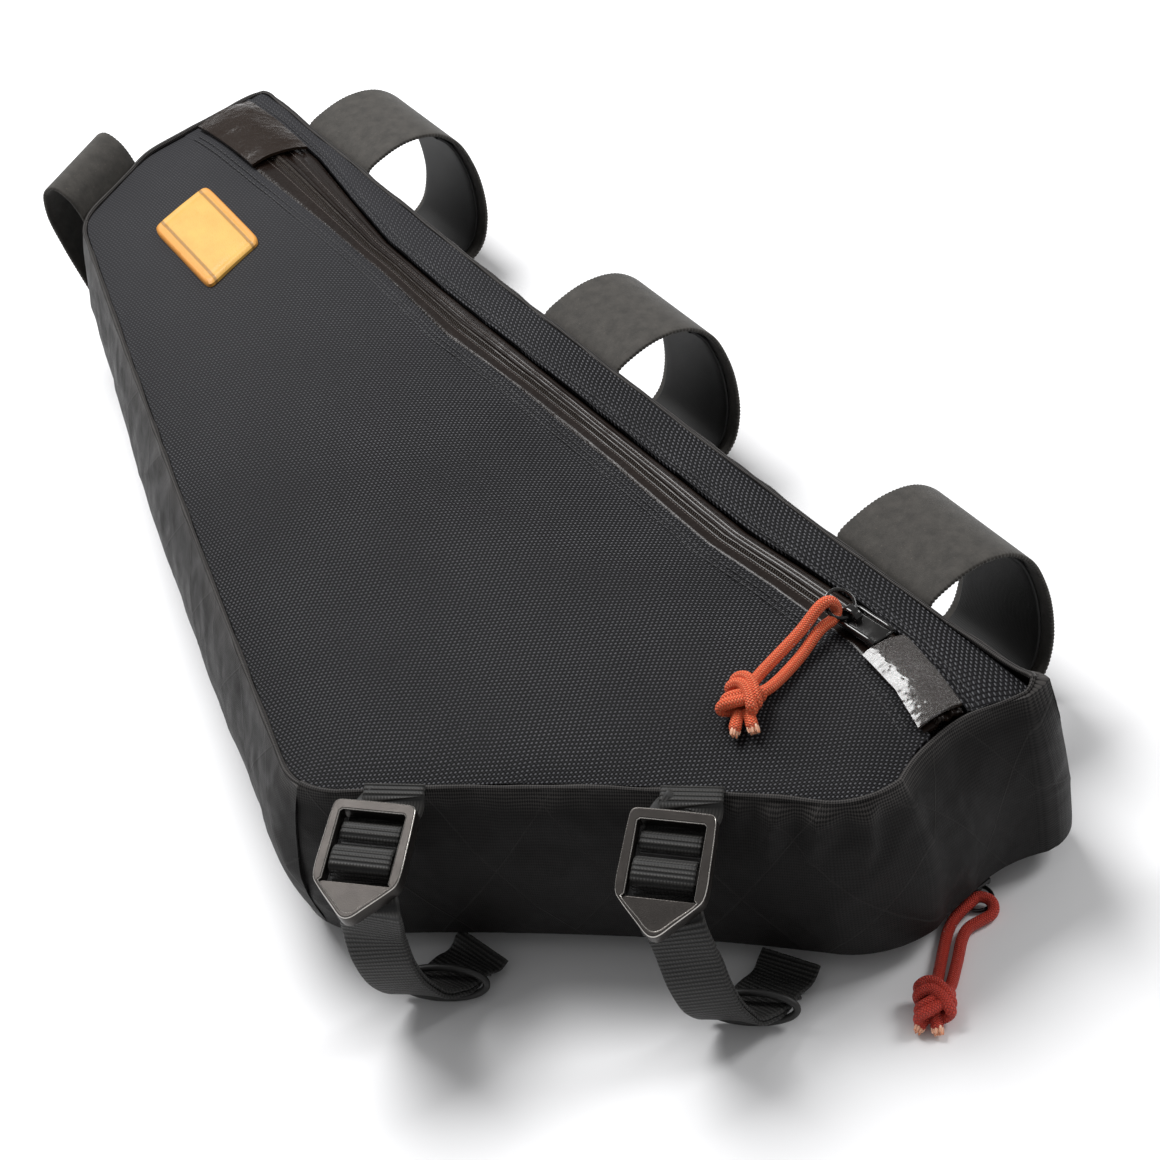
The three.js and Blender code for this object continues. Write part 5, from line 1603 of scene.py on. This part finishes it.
def add_buckle(name, frame_of, metal_look, rim_highlight_look):
    """Ladder buckle: rim, sunk field at the tip, and two bars"""
    half = BUCKLE["window"] / 2
    rim = BUCKLE["rim"]
    end = BUCKLE["window_end"]
    field = [p for p in buckle_outline(1.5) if p[1] > end + 0.3]
    field.sort(key=lambda p: math.atan2(p[1] - end, p[0]))
    right_side = [(-half + 0.8, rim), (half - 0.8, rim), (half, rim + 0.8), (half, end - 0.5)]
    hole = np.array([*right_side, *field, (-half, end - 0.5), (-half, rim + 0.8)])
    matrix = frame_of.matrix()
    shell = Shell()
    frame_mesh = plate_with_hole(buckle_outline(0), [hole], 0, BUCKLE["height"], 0.5)
    # The upper slanting rim faces take the pale metal of a painted highlight
    add_mesh(shell, frame_mesh, matrix, 0, 1, BUCKLE["height"] / 2)
    floor_line = np.array([(half + 0.8, end), *offset_out(field, 0.6), (-half - 0.8, end)])
    field_top = BUCKLE["height"] - BUCKLE["field_depth"]
    add_mesh(shell, plate_with_hole(floor_line, [], 0.2, field_top, 0.3), matrix)
    for low_y, high_y, low_z, high_z in (RECESSED_BAR, MIDDLE_BAR):
        add_box(shell, (-half - 0.6, low_y, low_z), (half + 0.6, high_y, high_z), 0.7, matrix)
    shell.build("buckle_metal_" + name, [metal_look, rim_highlight_look], ("buckle_" + name,), 35)


def offset_out(points, amount):
    """Points moved away from the middle of the buckle's tip"""
    centre = np.array((0, BUCKLE["window_end"]))
    return [p + unit(p - centre) * amount for p in points]


def band_way(points, across, steps):
    """Smooth line through stations with their width directions blended"""
    points = np.asarray(points, float)
    across = np.asarray(across, float)
    key = lengths(points)
    line = catmull_rom(points, steps)
    run = lengths(line)
    return line, unit(interpolate(run / run[-1] * key[-1], key, across))


def add_webbing_band(piece_name, node, way, across, steps, look):
    """Piece of webbing along a way, with the direction of its width at each point"""
    line, wide_way = band_way(way, across, steps)
    shell = Shell()
    add_band(shell, line, wide_way, WEBBING_WIDTH, WEBBING, 11)
    shell.build(piece_name, [look], (node,))


def add_tab(name, place, frame_of, look):
    """Tab from the seam, round the recessed bar and back under itself"""
    half = WEBBING / 2
    bar_from, bar_to, bar_low, bar_high = RECESSED_BAR
    under = bar_low - GAP - half
    above = bar_high + GAP + half
    wide = bar_to + GAP + half
    fold = frame_of.points([
        (3, under - LAYER_STEP, 0), (bar_from - 2.5, under - 1.7, 0), (bar_from - 0.5, under - 0.45, 0),
        (bar_from + 0.6, under - 0.1, 0), (bar_to + 0.1, under - 0.1, 0), (wide, under + 0.5, 0),
        (wide + 0.4, (under + above) / 2, 0), (wide, above - 0.5, 0), (bar_to + 0.1, above + 0.1, 0),
        (bar_from + 0.6, above + 0.1, 0), (bar_from - 0.9, above - 0.25, 0),
        (bar_from - 3, under + 0.35, 0), (BUCKLE["rim"] + 0.4, under, 0), (1, under, 0),
    ])
    over_roll = SEAM_TOP + EDGE_ROLL + GAP + half
    sewn = [
        on_seat_edge(4.9, over_roll - 2.7, place["tab"]),
        on_seat_edge(3.2, over_roll - 1.1, place["tab"]),
        on_seat_edge(place["tab_out"], over_roll + 0.5, place["tab"]),
    ]
    across = [frame_of.across] * len(fold) + [SEAT_ALONG] * len(sewn)
    add_webbing_band("buckle_tab_webbing_" + name, "buckle_tab_" + name, fold + sewn, across, 150, look)


def webbing_layer(doubled, leaving, sign):
    """One of the two layers beside the way of the doubled webbing"""
    points = []
    for i, at in enumerate(doubled):
        last = leaving if i == 0 else doubled[i - 1]
        following = doubled[i + 1] if i + 1 < len(doubled) else 2 * at - last
        normal = unit(np.cross(unit(following - last), SEAT_ALONG))
        if np.dot(normal, SEAT_OUT) < 0:
            normal = -normal
        points.append(at + normal * sign * LAYER_STEP / 2)
    return points


def add_webbing(name, place, frame_of, doubled, look):
    """Webbing from the gusset's foot through the buckle, round its middle bar and back to its tail"""
    half = WEBBING / 2
    bar_from, bar_to, bar_low, bar_high = MIDDLE_BAR
    tail_face = -GAP - half
    load_face = tail_face - LAYER_STEP
    front = bar_high + GAP + half + 0.15
    middle = (bar_low + bar_high) / 2
    before = bar_from - 2 * GAP - half - 0.3
    after = bar_to + 2 * GAP + half
    exit_side, exit_down, drop = BUCKLE_EXIT.values()
    leaving = frame_of.at(exit_side, exit_down, (load_face + tail_face) / 2 - drop)
    through = frame_of.points([
        (exit_down, load_face - drop, exit_side), (29, load_face - 0.2, 1.7), (24.5, load_face, 0.2),
        (20, load_face + 0.8, 0), (16.8, load_face + 1.6, 0), (before, tail_face + 1.2, 0),
        (before - 0.2, middle, 0), (before + 0.7, front - 0.8, 0), (bar_from + 0.3, front, 0),
        (bar_to - 0.3, front, 0), (after - 0.7, front - 0.8, 0), (after, middle, 0),
        (after + 0.6, tail_face + 1.5, 0), (after + 1.8, tail_face + 0.3, 0.2), (29, tail_face - 0.2, 1.7),
        (exit_down, tail_face - drop, exit_side),
    ])
    foot = [on_seat_edge(*p) for p in place["foot"]]
    loaded = webbing_layer(doubled, leaving, -1)
    tail = webbing_layer(doubled, leaving, 1)
    way = foot[::-1] + loaded[::-1] + through + tail + [on_seat_edge(*place["tail_end"])]
    shares = [(i + 1) / len(doubled) for i in range(len(doubled))]
    blend = [unit(lerp(frame_of.across, SEAT_ALONG, share)) for share in shares]
    across = (
        [SEAT_ALONG] * len(foot) + blend[::-1] + [frame_of.across] * len(through) + blend + [SEAT_ALONG])
    add_webbing_band("seat_webbing_" + name, "webbing_" + name, way, across, 380, look)


def add_keeper(name, doubled, look):
    """Rubber ring round the two layers of webbing"""
    along = unit(doubled[KEEPER_AT + 1] - doubled[KEEPER_AT - 1])
    thin = unit(np.cross(along, SEAT_ALONG))
    angle = turn_angles(72)
    circle = (
        doubled[KEEPER_AT] + SEAT_ALONG * (KEEPER["across"] * np.cos(angle))[:, None]
        + thin * (KEEPER["through"] * np.sin(angle))[:, None])
    ring = Shell()
    add_tube(ring, circle, KEEPER["wire"], 14, closed=True)
    ring.build("keeper_ring_" + name, [look], ("keeper_" + name,))


def add_seat_strap(name, place, looks):
    frame_of = BuckleFrame(place)
    doubled = [on_seat_edge(*p) for p in place["way"]]
    add_buckle(name, frame_of, looks["metal"], looks["rim_highlight"])
    add_tab(name, place, frame_of, looks["webbing"])
    add_webbing(name, place, frame_of, doubled, looks["webbing"])
    add_keeper(name, doubled, looks["rubber"])


def make_bag():
    """Every piece of the bag, and the camera, lights and floor it is shown with"""
    add_camera()
    add_studio()
    orange = braided_cord("orange_cord_braid")
    fibre = frayed_fibre("orange_cord_fibre")
    black_metal = gloss_black("black_metal_gloss")
    add_pull("", UPPER_PULL, orange, fibre)
    # Darker red cord; its second colour is a painted highlight
    red = braided_cord("red_cord_braid", (0.6, 0.03, 0.012), (0.75, 0.08, 0.04))
    add_pull("lower_", LOWER_PULL, red, fibre)
    seat = TAPE_LIFT + COIL_RIDGE + GAP + 0.6
    upper_base = float(upper_height(UPPER_SLIDER["x"], UPPER_SLIDER["y"])) + seat
    add_slider("", UPPER_SLIDER, upper_base, 1, (-0.3, 0.8, 0.5), black_metal)
    add_slider("lower_", LOWER_SLIDER, LOWER_SLIDER_BASE, -1, (-0.3, -0.94, -0.12), black_metal)

    panel_weave = heavy_weave("panel_weave")
    band_weave = heavy_weave("band_weave", 0.35, (0.85, 2.0))
    seam_thread = thread("seam_thread")
    add_main_panel(panel_weave, seam_thread)
    add_top_band(band_weave, seam_thread)
    add_lower_panel(panel_weave)
    tape = coated_tape("zip_coating")
    add_zip(tape, thread("coil_thread", (0.05, 0.04, 0.035)))
    sparkling = crinkled_coat("cover_coating")
    dull = crinkled_coat("cover_coating_dull", 0.2)
    add_cover("seat_end", SEAT_COVER, sparkling, 41)
    add_cover("head_end", HEAD_COVER, dull, 51)

    cloth = laminate("gusset_laminate")
    for side in GUSSET_SIDES:
        add_gusset(side, cloth)
    add_label(tan_leather("label_tan"))

    face = strap_face("strap_rubber_face")
    lining = strap_lining("strap_smooth_lining")
    for name, (y, out) in TOP_STRAPS.items():
        add_top_strap(name, y, out, face, lining)
    add_head_strap(face)
    looks = {
        "metal": gunmetal("buckle_gunmetal"),
        # Pale metal of the buckle's upper slanting rim faces: a painted highlight
        "rim_highlight": gunmetal("buckle_rim_highlight", (0.68, 0.65, 0.61), 0.24, 0.3),
        "webbing": ribbed_webbing("ribbed_webbing"),
        "rubber": black_rubber("keeper_rubber"),
    }
    for name, place in SEAT_STRAPS.items():
        add_seat_strap(name, place, looks)


make_bag()
